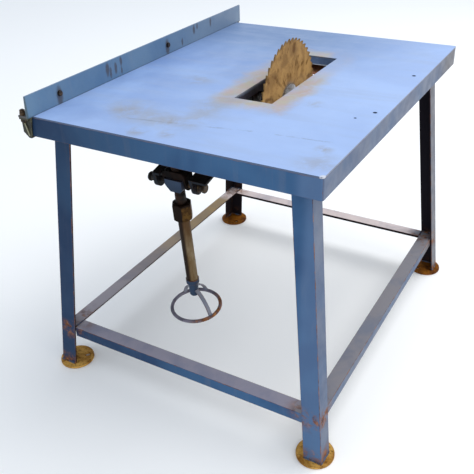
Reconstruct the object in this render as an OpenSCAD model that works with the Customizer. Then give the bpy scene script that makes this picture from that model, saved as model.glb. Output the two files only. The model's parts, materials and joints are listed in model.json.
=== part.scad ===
// Workshop-made circular table saw: splayed angle-iron stand, flat steel top with a
// blade slot, sliding angle fence, and a see-saw arbor frame raised by a handwheel screw.
// Millimetres, +Z up, +Y to the back, origin on the floor midway between the four anchor holes.

/* [Table top] */
// Width of the top, left to right
table_w = 790; // [700:5:900]
// Depth of the top, front to back
table_d = 1005; // [900:5:1100]
// Height of the working surface above the floor
table_h = 800; // [780:5:900]
// Thickness of the top plate
plate_t = 4; // [3:1:6]
// Depth of the angle-iron apron below the plate
apron_h = 50; // [50:1:60]
// Width of the apron angle's top flange, under the plate
apron_flange = 60; // [58:1:70]
// Thickness of the apron angle
apron_t = 5; // [4:1:6]
// Radius of the top's corners
corner_r = 6; // [3:1:10]
// Distance of the top's middle to the right of the stand's middle
top_shift = 7; // [0:1:10]

/* [Stand] */
// Width of each leg's angle iron
leg_w = 50; // [45:1:55]
// Thickness of each leg's angle iron
leg_t = 5; // [4:1:6]
// Half the distance between the legs' outer faces across the stand, at the apron's lower edge
leg_half_x = 357; // [340:1:360]
// Half the distance between the legs' outer faces along the stand, at the apron's lower edge
leg_half_y = 454; // [440:1:456]
// Sideways lean of each leg, in degrees
splay_x = 5.7; // [3:0.1:7]
// Lean of each leg to the front or back, in degrees
splay_y = 4.85; // [3:0.1:7]
// Height of the stretchers' top faces
stretcher_z = 140; // [120:5:200]
// Width of a stretcher's flat top flange
stretcher_w = 41; // [35:1:45]
// Depth of a stretcher's hanging flange
stretcher_h = 31; // [28:1:45]
// Thickness of the stretcher angle
stretcher_t = 4; // [3:1:5]
// Diameter of a foot disc
foot_d = 100; // [90:2:110]
// Thickness of a foot disc
foot_t = 8; // [6:1:12]
// Diameter of the anchor hole in a foot disc
anchor_d = 16; // [12:1:18]

/* [Blade slot] */
// Width of the slot in the top
slot_w = 108; // [100:2:120]
// Length of the slot in the top
slot_l = 418; // [410:2:430]
// Distance of the slot's middle to the right of the top's middle
slot_x = 61.5; // [60:0.5:63]
// Distance of the slot's middle behind the top's middle
slot_y = 29; // [26:1:32]
// Depth of the flat bars round the slot
rim_h = 22; // [18:1:24]

/* [Fence] */
// Height of the fence's upright face
fence_h = 55; // [50:1:65]
// Width of the fence's flat flange
fence_w = 31; // [31:1:40]
// Thickness of the fence angle
fence_t = 5; // [4:1:6]
// Distance from the top's left edge in to the fence's face
fence_in = 21; // [20:1:25]
// Length of fence beyond the top's front edge
fence_front = 20; // [18:1:24]
// Length of fence beyond the top's back edge
fence_back = 22; // [18:1:28]

/* [Blade and arbor] */
// Diameter of the saw blade over its teeth
blade_d = 335; // [320:1:338]
// Thickness of the blade's plate
blade_t = 3; // [2.5:0.1:3.4]
// Number of teeth
teeth = 48; // [40:2:60]
// Depth of a tooth
tooth_h = 9; // [6:0.5:10]
// Diameter of the arbor in its bearings
arbor_d = 25; // [24:1:26]
// Height of the arbor above the floor
arbor_z = 736; // [734:1:737]
// Distance of the arbor behind the top's middle
arbor_y = 24; // [22:1:28]
// Diameter of the two clamping flanges on the blade
flange_d = 90; // [80:2:92]

/* [Swing frame] */
// Distance between the middles of the two arms
arm_gap = 107; // [106:1:108]
// Thickness of an arm
arm_t = 8; // [7:0.5:8]
// Distance of the arms' hinge in front of the top's middle
hinge_front = 215; // [212:1:218]
// Diameter of the hinge pin
hinge_d = 20; // [18:1:22]

/* [Lift screw] */
// Distance of the trunnion in front of the top's middle
trunnion_front = 390; // [388:1:392]
// Height of the trunnion above the floor
trunnion_z = 644; // [642:1:646]
// Distance of the screw to the left of the top's middle
screw_left = 37; // [36:1:38]
// Lean of the screw from upright, its foot to the back, in degrees
screw_lean = 5; // [5:0.1:5.2]
// Diameter of the screw
screw_d = 28; // [27:0.5:29]
// Diameter of the pivot bolts
pivot_d = 14; // [12:1:16]
// Diameter of the pipe below the coupling nut
pipe_d = 31; // [30:0.5:33]
// Outer diameter of the handwheel
wheel_d = 146; // [130:2:160]
// Diameter of the round bar in the handwheel
wheel_bar = 10; // [8:1:11]

/* [Motor and belt] */
// Diameter of the motor's body
motor_d = 138; // [130:2:142]
// Length of the motor's body
motor_l = 176; // [160:2:190]
// Diameter of the motor's shaft
motor_shaft_d = 19; // [18:1:20]
// Outer diameter of the arbor pulley
arbor_pulley_d = 78; // [76:1:78]
// Outer diameter of the motor pulley
motor_pulley_d = 108; // [104:1:110]

/* [Hidden] */
$fn = 64;

run_gap = 0.05;   // radial clearance of a running fit
slide_gap = 0.3;  // clearance under the sliding fence
far = 2000;       // larger than the whole saw, for cutting planes
top_blue = [0.60, 0.68, 0.86];
frame_blue = [0.30, 0.42, 0.58];
rust = [0.45, 0.33, 0.16];
dark_steel = [0.22, 0.18, 0.15];
bare_steel = [0.55, 0.56, 0.58];

plate_z = table_h - plate_t;
apron_z = plate_z - apron_h;
half_w = table_w / 2;
half_d = table_d / 2;

// Legs: the corner of each angle leans out from the apron's lower edge to its foot
lean_x = tan(splay_x);
lean_y = tan(splay_y);
leg_top_z = plate_z - apron_t;
foot_in = 31;     // from the leg's outer corner in to the disc's centre
anchor_in = 22;   // from the disc's centre in to the anchor hole
foot_x = leg_half_x + lean_x * (apron_z - foot_t) - foot_in;
foot_y = leg_half_y + lean_y * (apron_z - foot_t) - foot_in;

// Accessory holes near the right edge, level with the arbor
side_hole_x = 365;
side_hole_gap = 304;
side_hole_d = 11;
small_hole_d = 7;

// Swing frame: the arms run straight from the trunnion up to the arbor
arm_rise = arbor_z - trunnion_z;
arm_run = arbor_y + trunnion_front;
arm_slope = atan2(arm_rise, arm_run);
arm_len = norm([arm_rise, arm_run]);
hinge_u = (trunnion_front - hinge_front) / cos(arm_slope);
hinge_z = trunnion_z + (trunnion_front - hinge_front) * tan(arm_slope);
arm_low = 19;         // from the arm's centre line down to its lower edge
arm_high = 19;        // up to its upper edge, behind the flange
flange_high = 34;     // up to the top of the front flange
flange_len = 135;     // how far the front flange reaches behind the trunnion
flange_out = 45;      // how wide it is
notch_len = 34;       // how far its notch for the screw reaches behind the trunnion
notch_from = 17;      // what the notch leaves of its width
arm_x = arm_gap / 2;
hanger_x = 16;        // from an arm's middle out to its hanger's middle
hanger_t = 10;

// Along the arbor, as distances from the screw's own plane
pulley_x = -3;        // middle of both pulleys
pulley_w = 24;
housing_t = 22;
housing_r = 28;
housing_bolt_gap = 45;  // from the arbor to each of its two bolts
bearing_r = 24;
blade_x = slot_x + screw_left;
flange_t = 8;
nut_af = 38;
motor_u = 520;        // motor's axis in the arm's own plane
motor_v = -150;
motor_plate_t = 8;
motor_face_x = -arm_x - arm_t / 2 - motor_plate_t;
motor_flange_t = 10;
motor_flange_d = 160;
motor_bolt_pcd = 130;
motor_plate_bolt_u = 346;
belt_w = 12;
belt_t = 8;

// Along the lift screw, as heights above the trunnion
web_low = 104;        // underside of the thrust bracket's web
web_t = 12;
journal_r = 10;
coupling_top = -57;
coupling_len = 49;
coupling_af = 46;
joint_z = -82;        // where the screw meets the pipe inside the coupling nut
pipe_foot = -312;
collar_top = -303;
collar_h = 14;
stub_foot = -362;
ring_z = -402;
spoke_angles = [-21, 97, 150];
strap_in = 27;        // from the screw out to the strap's inner face
strap_t = 6;
crown_low = 20;       // underside of the strap's crown, clear of the nut block
strap_top = 38;
strap_w = 36;
nut_left = 26;        // from the screw to the nut block's left side
nut_right = 23;       // and to its right side
nut_bore_r = screw_d / 2 + 2.3;   // open bore: the thread is left out
boss_t = 4;           // how far the arms' bosses stand out
bolt_reach = 73;      // from the screw out to the right pivot bolt's head
left_reach = 78;      // and to the left one's

// ---- placing -------------------------------------------------------------

module on_top() {
    translate([top_shift, 0, 0]) children();
}

// The trunnion's own frame, upright
module at_trunnion() {
    translate([top_shift - screw_left, -trunnion_front, trunnion_z]) children();
}

// The arms' own frame: +Y along the arm to the back, +Z square to it
module at_arm() {
    at_trunnion() rotate([arm_slope, 0, 0]) children();
}

// The screw's own frame: +Z up along the screw
module at_screw() {
    at_trunnion() rotate([screw_lean, 0, 0]) children();
}

// A flat shape drawn as (back, up), thickened along X and centred on x
module slab_x(x, t) {
    translate([x - t / 2, 0, 0]) rotate([90, 0, 90]) linear_extrude(t) children();
}

// A round bar along X from x0 to x1
module bar_x(r, x0, x1, y = 0, z = 0) {
    translate([x0, y, z]) rotate([0, 90, 0]) cylinder(r = r, h = x1 - x0);
}

// Points along an arc of radius r round c, from angle a0 to a1 in n steps
function arc(c, r, a0, a1, n) =
    [for (i = [0:n]) c + r * [cos(a0 + (a1 - a0) * i / n), sin(a0 + (a1 - a0) * i / n)]];

module hex(af, h) {
    cylinder(d = af / cos(30), h = h, $fn = 6);
}

// A hexagon bar along X
module hex_x(af, x0, x1, y = 0, z = 0) {
    translate([x0, y, z]) rotate([0, 90, 0]) hex(af, x1 - x0);
}

// ---- table top -----------------------------------------------------------

module top_outline() {
    square([table_w - 2 * corner_r, table_d], center = true);
    square([table_w, table_d - 2 * corner_r], center = true);
    for (sx = [-1, 1], sy = [-1, 1])
        translate([sx * (half_w - corner_r), sy * (half_d - corner_r)]) circle(corner_r);
}

module table_plate() {
    color(top_blue) on_top() translate([0, 0, plate_z]) difference() {
        linear_extrude(plate_t) top_outline();
        translate([slot_x - slot_w / 2, slot_y - slot_l / 2, -1]) cube([slot_w, slot_l, plate_t + 2]);
        for (s = [-1, 1])
            translate([side_hole_x, arbor_y - 2 + s * side_hole_gap / 2, -1])
                cylinder(d = side_hole_d, h = plate_t + 2);
        translate([side_hole_x - 30, arbor_y - 206, -1]) cylinder(d = small_hole_d, h = plate_t + 2);
    }
}

// One side of the apron: an angle iron, mitred at both ends, along X at the front
module apron(length, setback) {
    translate([0, -setback, apron_z]) difference() {
        linear_extrude(apron_h)
            polygon([[-length / 2, 0], [length / 2, 0],
                     [length / 2 - apron_flange, apron_flange],
                     [-length / 2 + apron_flange, apron_flange]]);
        translate([-length / 2, apron_t, -1]) cube([length, apron_flange, apron_h - apron_t + 1]);
    }
}

module rounded_to_top() {
    color(frame_blue) on_top() intersection() {
        children();
        linear_extrude(table_h) top_outline();
    }
}

module apron_front() {
    rounded_to_top() apron(table_w, half_d);
}

module apron_right() {
    rounded_to_top() rotate(90) apron(table_d, half_w);
}

module apron_back() {
    rounded_to_top() rotate(180) apron(table_w, half_d);
}

module apron_left() {
    rounded_to_top() rotate(-90) apron(table_d, half_w);
}

// Flat bars on edge under the slot's sides
module slot_rim() {
    rim_t = 5;
    color(frame_blue) on_top() translate([slot_x, slot_y, plate_z - rim_h]) linear_extrude(rim_h)
        difference() {
            square([slot_w + 2 * rim_t, slot_l + 2 * rim_t], center = true);
            square([slot_w, slot_l], center = true);
        }
}

// Angle iron under the plate behind the slot, its lower flange pointing to the front
module cross_member() {
    depth = 50;
    reach = 100;
    y1 = slot_y + slot_l / 2 + 92;
    length = table_w - 2 * apron_flange - 2;
    color(rust) on_top() translate([-length / 2, y1, plate_z - depth]) {
        translate([0, -reach, 0]) cube([length, reach, apron_t]);
        translate([0, -apron_t, 0]) cube([length, apron_t, depth]);
    }
}

// ---- stand ---------------------------------------------------------------

// The leg at the front left; the other three are its mirror images
module leg() {
    lean_back = atan(lean_y * cos(splay_x));
    color(frame_blue) intersection() {
        translate([-leg_half_x, -leg_half_y, apron_z]) rotate([-lean_back, splay_x, 0])
            translate([0, 0, -table_h]) linear_extrude(table_h + apron_h * 2)
                polygon([[0, 0], [leg_w, 0], [leg_w, leg_t], [leg_t, leg_t], [leg_t, leg_w], [0, leg_w]]);
        translate([-far / 2, -far / 2, foot_t]) cube([far, far, leg_top_z - foot_t]);
    }
}

module leg_front_left() {
    leg();
}

module leg_front_right() {
    mirror([1, 0, 0]) leg();
}

module leg_back_left() {
    mirror([0, 1, 0]) leg();
}

module leg_back_right() {
    mirror([1, 0, 0]) mirror([0, 1, 0]) leg();
}

// A stretcher between two legs, along X: flat flange on top and inward, the other hanging
// down against the legs' inner faces. half is half its length.
module stretcher(half, face) {
    color(frame_blue) translate([-half, -face, stretcher_z - stretcher_h]) {
        translate([0, 0, stretcher_h - stretcher_t]) cube([2 * half, stretcher_w, stretcher_t]);
        cube([2 * half, stretcher_t, stretcher_h]);
    }
}

leg_drop = apron_z - stretcher_z;
in_x = leg_half_x + lean_x * leg_drop - leg_t - 0.6;
in_y = leg_half_y + lean_y * leg_drop - leg_t - 0.6;

module stretcher_front() {
    stretcher(in_x - stretcher_w - 0.6, in_y);
}

module stretcher_back() {
    mirror([0, 1, 0]) stretcher(in_x - stretcher_w - 0.6, in_y);
}

module stretcher_left() {
    rotate(-90) stretcher(in_y, in_x);
}

module stretcher_right() {
    rotate(90) stretcher(in_y, in_x);
}

module foot(sx, sy) {
    color(rust) translate([sx * foot_x, sy * foot_y, 0]) difference() {
        cylinder(d = foot_d, h = foot_t);
        translate([-sx * anchor_in, -sy * anchor_in, -1]) cylinder(d = anchor_d, h = foot_t + 2);
    }
}

module foot_front_left() {
    foot(-1, -1);
}

module foot_front_right() {
    foot(1, -1);
}

module foot_back_left() {
    foot(-1, 1);
}

module foot_back_right() {
    foot(1, 1);
}

// ---- fence ---------------------------------------------------------------

fence_face = -half_w + fence_in;
fence_y0 = -half_d - fence_front;
fence_y1 = half_d + fence_back;
fence_l = fence_y1 - fence_y0;
fence_z = table_h + slide_gap;
clamp_in = 7;             // from the fence's end in to the clamp bolt
clamp_x = fence_face - 22;
clamp_y = [fence_y0 + clamp_in, fence_y1 - clamp_in];
face_bolt_y = [-405, 78];
face_bolt_z = fence_z + 28;

module fence() {
    slant = 4;   // the front end leans back by this much at the top
    color(frame_blue) on_top() difference() {
        union() {
            translate([fence_face - fence_w, fence_y0, fence_z]) cube([fence_w, fence_l, fence_t]);
            translate([fence_face - fence_t, fence_y0, fence_z]) cube([fence_t, fence_l, fence_h]);
        }
        for (y = clamp_y) translate([clamp_x, y, fence_z - 1]) cylinder(r = 4.5, h = fence_t + 2);
        translate([0, fence_y0, fence_z + fence_t]) rotate([90, 0, 90]) linear_extrude(far, center = true)
            polygon([[-1, 0], [0, 0], [slant, fence_h], [-1, fence_h]]);
        for (y = face_bolt_y) bar_x(4.2, fence_face - fence_t - 1, fence_face + 1, y, face_bolt_z);
    }
}

// Two hexagon bolts through the fence's face, nuts behind
module fence_bolts() {
    color(rust) on_top() for (y = face_bolt_y) translate([fence_face, y, face_bolt_z]) {
        bar_x(4, -fence_t - 12, 1);
        hex_x(13, 0.1, 5.5);
        hex_x(13, -fence_t - 7, -fence_t - 0.1);
    }
}

// Hook plate that hangs from the fence's flange in front of the apron, stiffened by a welded
// bar, with a toe that catches under the apron's lower edge
module hook() {
    low = apron_z - 4;
    plate_y = fence_front - clamp_in - 2;   // its inner face stands 2 off the apron
    plate = 4;
    color(dark_steel) difference() {
        union() {
            translate([-9, 1 - clamp_in, table_h - 5]) cube([27.5, plate_y + clamp_in - 1, 5]);
            translate([0, plate_y, 0]) rotate([90, 0, 0]) linear_extrude(plate)
                polygon([[-16.5, table_h], [18.5, table_h], [7.5, low], [-1.5, low + 1],
                         [-16.5, low + 14]]);
            translate([-1.5, plate_y - plate, low]) cube([9, plate + 8, 3.5]);
            translate([-6.5, plate_y - plate - 1.5, table_h - 15]) rotate([0, 164, 0])
                cylinder(r = 2.8, h = 37);
        }
        translate([0, 0, table_h - 10]) cylinder(r = 4.1, h = 20);
    }
}

module fence_hook_front() {
    on_top() translate([clamp_x, clamp_y[0], 0]) hook();
}

module fence_hook_back() {
    on_top() translate([clamp_x, clamp_y[1], 0]) mirror([0, 1, 0]) hook();
}

// Studs with a nut below, and a washer and two nuts on top
module fence_clamp_bolts() {
    color(rust) on_top() for (y = clamp_y) translate([clamp_x, y, fence_z]) {
        translate([0, 0, -15]) cylinder(r = 4, h = 35);
        translate([0, 0, fence_t]) cylinder(r = clamp_in, h = 1.5);
        translate([0, 0, fence_t + 1.5]) hex(13, 6.5);
        translate([0, 0, fence_t + 8]) rotate(20) hex(13, 5);
        translate([0, 0, -12]) hex(13, 6.7);
    }
}

// ---- fixed mechanism parts -----------------------------------------------

module hinge_hangers() {
    drop = plate_z - hinge_z;
    color(frame_blue) at_trunnion() translate([0, trunnion_front - hinge_front, hinge_z - trunnion_z])
        for (x = [-arm_x - hanger_x, arm_x + hanger_x]) slab_x(x, hanger_t) difference() {
            union() {
                circle(22);
                polygon([[-22, 0], [22, 0], [28, drop], [-32, drop]]);
            }
            circle(hinge_d / 2 + run_gap);
        }
}

module hinge_pin() {
    reach = arm_x + hanger_x + hanger_t / 2;
    color(bare_steel) at_trunnion() translate([0, trunnion_front - hinge_front, hinge_z - trunnion_z]) {
        bar_x(hinge_d / 2, -reach - 18, reach + 1);
        hex_x(30, reach, reach + 11);
        hex_x(30, -reach - 15, -reach - 0.1);
    }
}

// Channel under the plate that holds the screw's top end, square to the screw
module thrust_bracket() {
    color(frame_blue) intersection() {
        at_screw() difference() {
            translate([-45, -25, web_low]) cube([90, 50, 90]);
            translate([-33, -30, web_low + web_t]) cube([66, 60, 90]);
            translate([0, 0, web_low - 1]) cylinder(r = journal_r + run_gap, h = web_t + 2);
        }
        translate([-far / 2, -far / 2, 0]) cube([far, far, plate_z]);
    }
}

// ---- swing frame ---------------------------------------------------------

module arm_side() {
    difference() {
        union() {
            circle(arm_low);
            polygon([[-arm_low, 0], [-arm_low - 3, flange_high], [flange_len, flange_high],
                     [flange_len + 15, arm_high], [arm_len + 52, arm_high],
                     [arm_len + 52, -arm_low], [0, -arm_low]]);
        }
        circle(pivot_d / 2 + run_gap);
        translate([hinge_u, 0]) circle(hinge_d / 2 + run_gap);
        translate([motor_plate_bolt_u, 0]) circle(4.2);
        translate([arm_len, 0]) circle(arbor_d / 2 + 3);
        for (e = [-housing_bolt_gap, housing_bolt_gap]) translate([arm_len + e, 0]) circle(4.2);
    }
}

// One arm at x: a plate on edge, a top flange to the right in front, and bosses at its two
// pivots. out is the side its bosses stand on; a notched flange clears the screw.
module swing_arm(x, out, notched) {
    front = -arm_low - 3;
    color(frame_blue) at_arm() {
        slab_x(x, arm_t) arm_side();
        difference() {
            translate([x, front, flange_high - 6]) cube([flange_out, flange_len - front, 6]);
            if (notched) translate([x + notch_from, front - 1, 0]) cube([flange_out, notch_len - front, far]);
        }
        slab_x(x + out * (arm_t + boss_t) / 2, boss_t) difference() {
            circle(arm_low);
            circle(pivot_d / 2 + run_gap);
        }
        slab_x(x + out * (arm_t + boss_t) / 2, boss_t) translate([hinge_u, 0]) difference() {
            circle(17);
            circle(hinge_d / 2 + run_gap);
        }
    }
}

module swing_arm_left() {
    swing_arm(-arm_x, -1, true);
}

module swing_arm_right() {
    swing_arm(arm_x, 1, false);
}

module swing_cross_bars() {
    color(frame_blue) at_arm() for (u = [92, 300])
        bar_x(12, -arm_x + arm_t / 2, arm_x - arm_t / 2, u, 0);
}

// Two-bolt flange unit on an arm's inner face, at x and thickened towards side
module bearing_housing(x, side) {
    color(frame_blue) at_arm() translate([0, arm_len, 0]) {
        slab_x(x + side * 5, 10) difference() {
            union() {
                circle(housing_r);
                for (s = [-1, 1]) translate([s * housing_bolt_gap, 0]) circle(12);
                square([2 * housing_bolt_gap, 24], center = true);
            }
            circle(bearing_r);
            for (s = [-1, 1]) translate([s * housing_bolt_gap, 0]) circle(4.2);
        }
        slab_x(x + side * (10 + (housing_t - 10) / 2), housing_t - 10) difference() {
            circle(housing_r);
            circle(bearing_r);
        }
    }
}

module bearing_housing_left() {
    bearing_housing(-arm_x + arm_t / 2, 1);
}

module bearing_housing_right() {
    bearing_housing(arm_x - arm_t / 2, -1);
}

module arbor_bearings() {
    color(bare_steel) at_arm() translate([0, arm_len, 0]) for (s = [-1, 1])
        slab_x(s * (arm_x - arm_t / 2 - housing_t / 2), housing_t - 4) difference() {
            circle(bearing_r);
            circle(arbor_d / 2 + run_gap);
        }
}

// Bolts through housing and arm; the front left one also goes through the motor plate
module housing_bolts() {
    inner = arm_x - arm_t / 2 - 10;
    color(rust) at_arm() for (s = [0, 1], e = [-1, 1]) mirror([1 - s, 0, 0]) {
        outer = arm_x + arm_t / 2 + (s == 0 && e < 0 ? motor_plate_t : 0);
        translate([0, arm_len + e * housing_bolt_gap, 0]) {
            bar_x(4, inner - 9, outer + 1);
            hex_x(13, inner - 6.5, inner);
            hex_x(13, outer, outer + 5.5);
        }
    }
}

module motor_plate() {
    color(frame_blue) at_arm() slab_x(motor_face_x + motor_plate_t / 2, motor_plate_t) difference() {
        polygon(concat([[330, -19], [330, 16], [392, 16], [392, -17], [460, -66]],
                       arc([motor_u, motor_v], motor_flange_d / 2 + 4, 120, -155, 60)));
        translate([arm_len - housing_bolt_gap, 0]) circle(4.2);
        translate([motor_plate_bolt_u, 0]) circle(4.2);
        translate([motor_u, motor_v]) {
            circle(40);
            for (a = [45:90:315]) rotate(a) translate([motor_bolt_pcd / 2, 0]) circle(4.2);
        }
    }
}

module motor_plate_bolts() {
    plate_far = motor_face_x + motor_plate_t;
    arm_far = plate_far + arm_t;
    color(rust) at_arm() {
        translate([0, motor_plate_bolt_u, 0]) {
            bar_x(4, motor_face_x - 1, arm_far + 9);
            hex_x(13, motor_face_x - 5.5, motor_face_x);
            hex_x(13, arm_far, arm_far + 6.5);
        }
        for (a = [45:90:315]) translate([0, motor_u, motor_v]) rotate([a, 0, 0]) {
            bar_x(4, motor_face_x, plate_far + 1, motor_bolt_pcd / 2, 0);
            hex_x(13, plate_far, plate_far + 5.5, motor_bolt_pcd / 2, 0);
        }
    }
}

module motor_flange() {
    color(frame_blue) at_arm() slab_x(motor_face_x - motor_flange_t / 2, motor_flange_t)
        translate([motor_u, motor_v]) difference() {
            circle(d = motor_flange_d);
            circle(motor_shaft_d / 2 + run_gap);
        }
}

// Ribbed cast body
module motor_body() {
    ribs = 28;
    rib_h = 7;
    x1 = motor_face_x - motor_flange_t;
    color([0.28, 0.34, 0.36]) at_arm() slab_x(x1 - motor_l / 2, motor_l) translate([motor_u, motor_v]) {
        circle(motor_d / 2 - rib_h);
        for (i = [0:ribs - 1]) rotate(i * 360 / ribs)
            translate([motor_d / 2 - rib_h - 1, -1.6]) square([rib_h + 1, 3.2]);
    }
}

module motor_fan_cover() {
    x1 = motor_face_x - motor_flange_t - motor_l;
    cover_l = 42;
    color([0.18, 0.20, 0.22]) at_arm() translate([x1, motor_u, motor_v]) rotate([0, -90, 0]) difference() {
        rotate_extrude() polygon([[0, 0], [motor_d / 2 + 1, 0], [motor_d / 2 + 1, cover_l - 8],
                                  [motor_d / 2 - 7, cover_l], [0, cover_l]]);
        for (r = [22, 40]) for (a = [0:30:330]) rotate(a) translate([r, 0, cover_l - 5])
            cylinder(r = 4, h = 10, $fn = 16);
    }
}

module terminal_box() {
    x1 = motor_face_x - motor_flange_t - motor_l / 2;
    color([0.28, 0.34, 0.36]) at_arm() translate([x1, motor_u, motor_v]) difference() {
        union() {
            translate([-38, -32, motor_d / 2 - 10]) cube([76, 64, 36]);
            translate([-40, -34, motor_d / 2 + 26]) cube([80, 68, 5]);
        }
        bar_x(motor_d / 2, -50, 50);
    }
}

module cable_gland() {
    x1 = motor_face_x - motor_flange_t - motor_l / 2;
    color([0.1, 0.1, 0.1]) at_arm() translate([x1, motor_u + 32, motor_v + motor_d / 2 + 9])
        rotate([-90, 0, 0]) difference() {
            union() {
                hex(22, 9);
                cylinder(r = 8.5, h = 20);
            }
            translate([0, 0, 4]) cylinder(r = 4.5, h = 20);
        }
}

// Outline round both pulleys, grown past the bottoms of their grooves
module belt_loop(grow) {
    r1 = arbor_pulley_d / 2 - belt_t + grow;
    r2 = motor_pulley_d / 2 - belt_t + grow;
    centres = norm([motor_u - arm_len, motor_v]);
    touch = acos((r1 - r2) / centres);
    translate([arm_len, 0]) rotate(atan2(motor_v, motor_u - arm_len))
        polygon(concat(arc([centres, 0], r2, -touch, touch, 48), arc([0, 0], r1, touch, 360 - touch, 36)));
}

// V-belt, standing clear inside the grooves
module v_belt() {
    color([0.08, 0.08, 0.08]) at_arm() slab_x(pulley_x, belt_w) difference() {
        belt_loop(belt_t - 0.5);
        belt_loop(0.5);
    }
}

// A one-groove pulley on its side along X, centred on pulley_x
module pulley(d, bore) {
    translate([pulley_x - pulley_w / 2, 0, 0]) rotate([90, 0, 90]) rotate_extrude()
        polygon([[bore / 2, 0], [d / 2, 0], [d / 2, 5], [d / 2 - belt_t, 5.5],
                 [d / 2 - belt_t, pulley_w - 5.5], [d / 2, pulley_w - 5], [d / 2, pulley_w],
                 [bore / 2, pulley_w]]);
}

module arbor_pulley() {
    color(dark_steel) at_arm() translate([0, arm_len, 0]) pulley(arbor_pulley_d, arbor_d);
}

module motor_pulley() {
    color(dark_steel) at_arm() translate([0, motor_u, motor_v]) pulley(motor_pulley_d, motor_shaft_d);
}

module motor_shaft() {
    from_x = motor_face_x - motor_flange_t + 1;
    color(bare_steel) at_arm()
        bar_x(motor_shaft_d / 2, from_x, pulley_x + pulley_w / 2 + 3, motor_u, motor_v);
}

// ---- arbor ---------------------------------------------------------------

module arbor_shaft() {
    color(bare_steel) at_arm()
        bar_x(arbor_d / 2, -arm_x - 12, blade_x + blade_t / 2 + flange_t + 26, arm_len, 0);
}

// A turned clamping flange, dished on the blade's side
module blade_flange(side) {
    color(bare_steel) at_arm() translate([blade_x + side * blade_t / 2, arm_len, 0]) rotate([0, side * 90, 0])
        rotate_extrude() polygon([[arbor_d / 2, 1], [flange_d / 2 - 10, 1], [flange_d / 2 - 9, 0],
                                  [flange_d / 2, 0], [flange_d / 2, 4], [26, flange_t],
                                  [arbor_d / 2, flange_t]]);
}

module blade_flange_inner() {
    blade_flange(-1);
}

module blade_flange_outer() {
    blade_flange(1);
}

// Toothed disc; the teeth lean to the front, the way the top of the blade runs
module saw_blade() {
    root = blade_d / 2 - tooth_h;
    step = 360 / teeth;
    color(rust) at_arm() translate([0, arm_len, 0]) slab_x(blade_x, blade_t) difference() {
        union() {
            circle(root, $fn = 120);
            for (i = [0:teeth - 1]) rotate(i * step)
                polygon([[root - 3, 0], [(root + tooth_h) * cos(0.2), (root + tooth_h) * sin(0.2)],
                         [(root + tooth_h) * cos(1.1), (root + tooth_h) * sin(1.1)],
                         [(root + 3.5) * cos(step * 0.6), (root + 3.5) * sin(step * 0.6)],
                         [(root - 1) * cos(step * 0.85), (root - 1) * sin(step * 0.85)],
                         [(root - 6) * cos(step), (root - 6) * sin(step)]]);
        }
        circle(arbor_d / 2);
    }
}

module arbor_nut() {
    x0 = blade_x + blade_t / 2 + flange_t;
    color(bare_steel) at_arm() translate([0, arm_len, 0]) difference() {
        hex_x(nut_af, x0, x0 + 16);
        bar_x(arbor_d / 2, x0 - 1, x0 + 20);
    }
}

// ---- trunnion ------------------------------------------------------------

// Nut block cut from bar, its lower corners bevelled; the screw runs free through it
module trunnion_nut() {
    depth = 42;
    color([0.33, 0.42, 0.52]) at_screw() difference() {
        rotate([90, 0, 0]) linear_extrude(depth, center = true)
            polygon([[-nut_left, 16], [nut_right, 16], [nut_right, -8], [16, -17], [-12, -17],
                     [-nut_left, -1]]);
        translate([0, 0, -40]) cylinder(r = nut_bore_r, h = 80);
    }
}

// Inverted U over the nut block, its shoulders rounded and its feet round about the pivot
module saddle_strap() {
    out = strap_in + strap_t;
    shoulder = 12;
    foot_r = 14;
    color(dark_steel) at_screw() difference() {
        intersection() {
            rotate([90, 0, 0]) linear_extrude(strap_w, center = true) difference() {
                union() {
                    translate([-out, -foot_r]) square([2 * out, strap_top - shoulder + foot_r]);
                    translate([shoulder - out, 0]) square([2 * (out - shoulder), strap_top]);
                    for (s = [-1, 1]) translate([s * (out - shoulder), strap_top - shoulder])
                        circle(shoulder);
                }
                translate([-strap_in, -foot_r - 1]) square([2 * strap_in, crown_low + foot_r + 1]);
            }
            slab_x(0, 2 * out + 2) union() {
                circle(foot_r);
                polygon([[-foot_r, 0], [foot_r, 0], [strap_w / 2, 16], [strap_w / 2, strap_top + 1],
                         [-strap_w / 2, strap_top + 1], [-strap_w / 2, 16]]);
            }
        }
        cylinder(r = nut_bore_r, h = strap_top + 1);
        bar_x(pivot_d / 2, -out - 1, out + 1);
    }
}

// Pivot bolts, head outside, screwed through the strap into the nut block's sides
module pivot_bolts() {
    washer_x = arm_x + arm_t / 2 + boss_t + slide_gap;
    color([0.40, 0.32, 0.20]) at_screw() for (s = [0, 1]) mirror([1 - s, 0, 0]) {
        head = s == 0 ? left_reach : bolt_reach;
        bar_x(pivot_d / 2, s == 0 ? nut_left : nut_right, head + 8);
        bar_x(13, washer_x, washer_x + 2.5);
        bar_x(10, washer_x + 2.5, head);
        hex_x(21, head, head + 8);
    }
}

// ---- lift screw ----------------------------------------------------------

module lift_rod() {
    color(dark_steel) at_screw() {
        translate([0, 0, joint_z]) cylinder(r = screw_d / 2, h = web_low - 0.3 - joint_z);
        cylinder(r = journal_r, h = web_low + web_t + 14);
    }
}

module coupling_nut() {
    color([0.30, 0.20, 0.10]) at_screw() translate([0, 0, coupling_top - coupling_len]) difference() {
        intersection() {
            hex(coupling_af, coupling_len);
            rotate_extrude() polygon([[0, 0], [22, 0], [27, 4], [27, coupling_len - 4],
                                      [22, coupling_len], [0, coupling_len]]);
        }
        translate([0, 0, -1]) cylinder(r = screw_d / 2, h = coupling_len + 2);
    }
}

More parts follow.
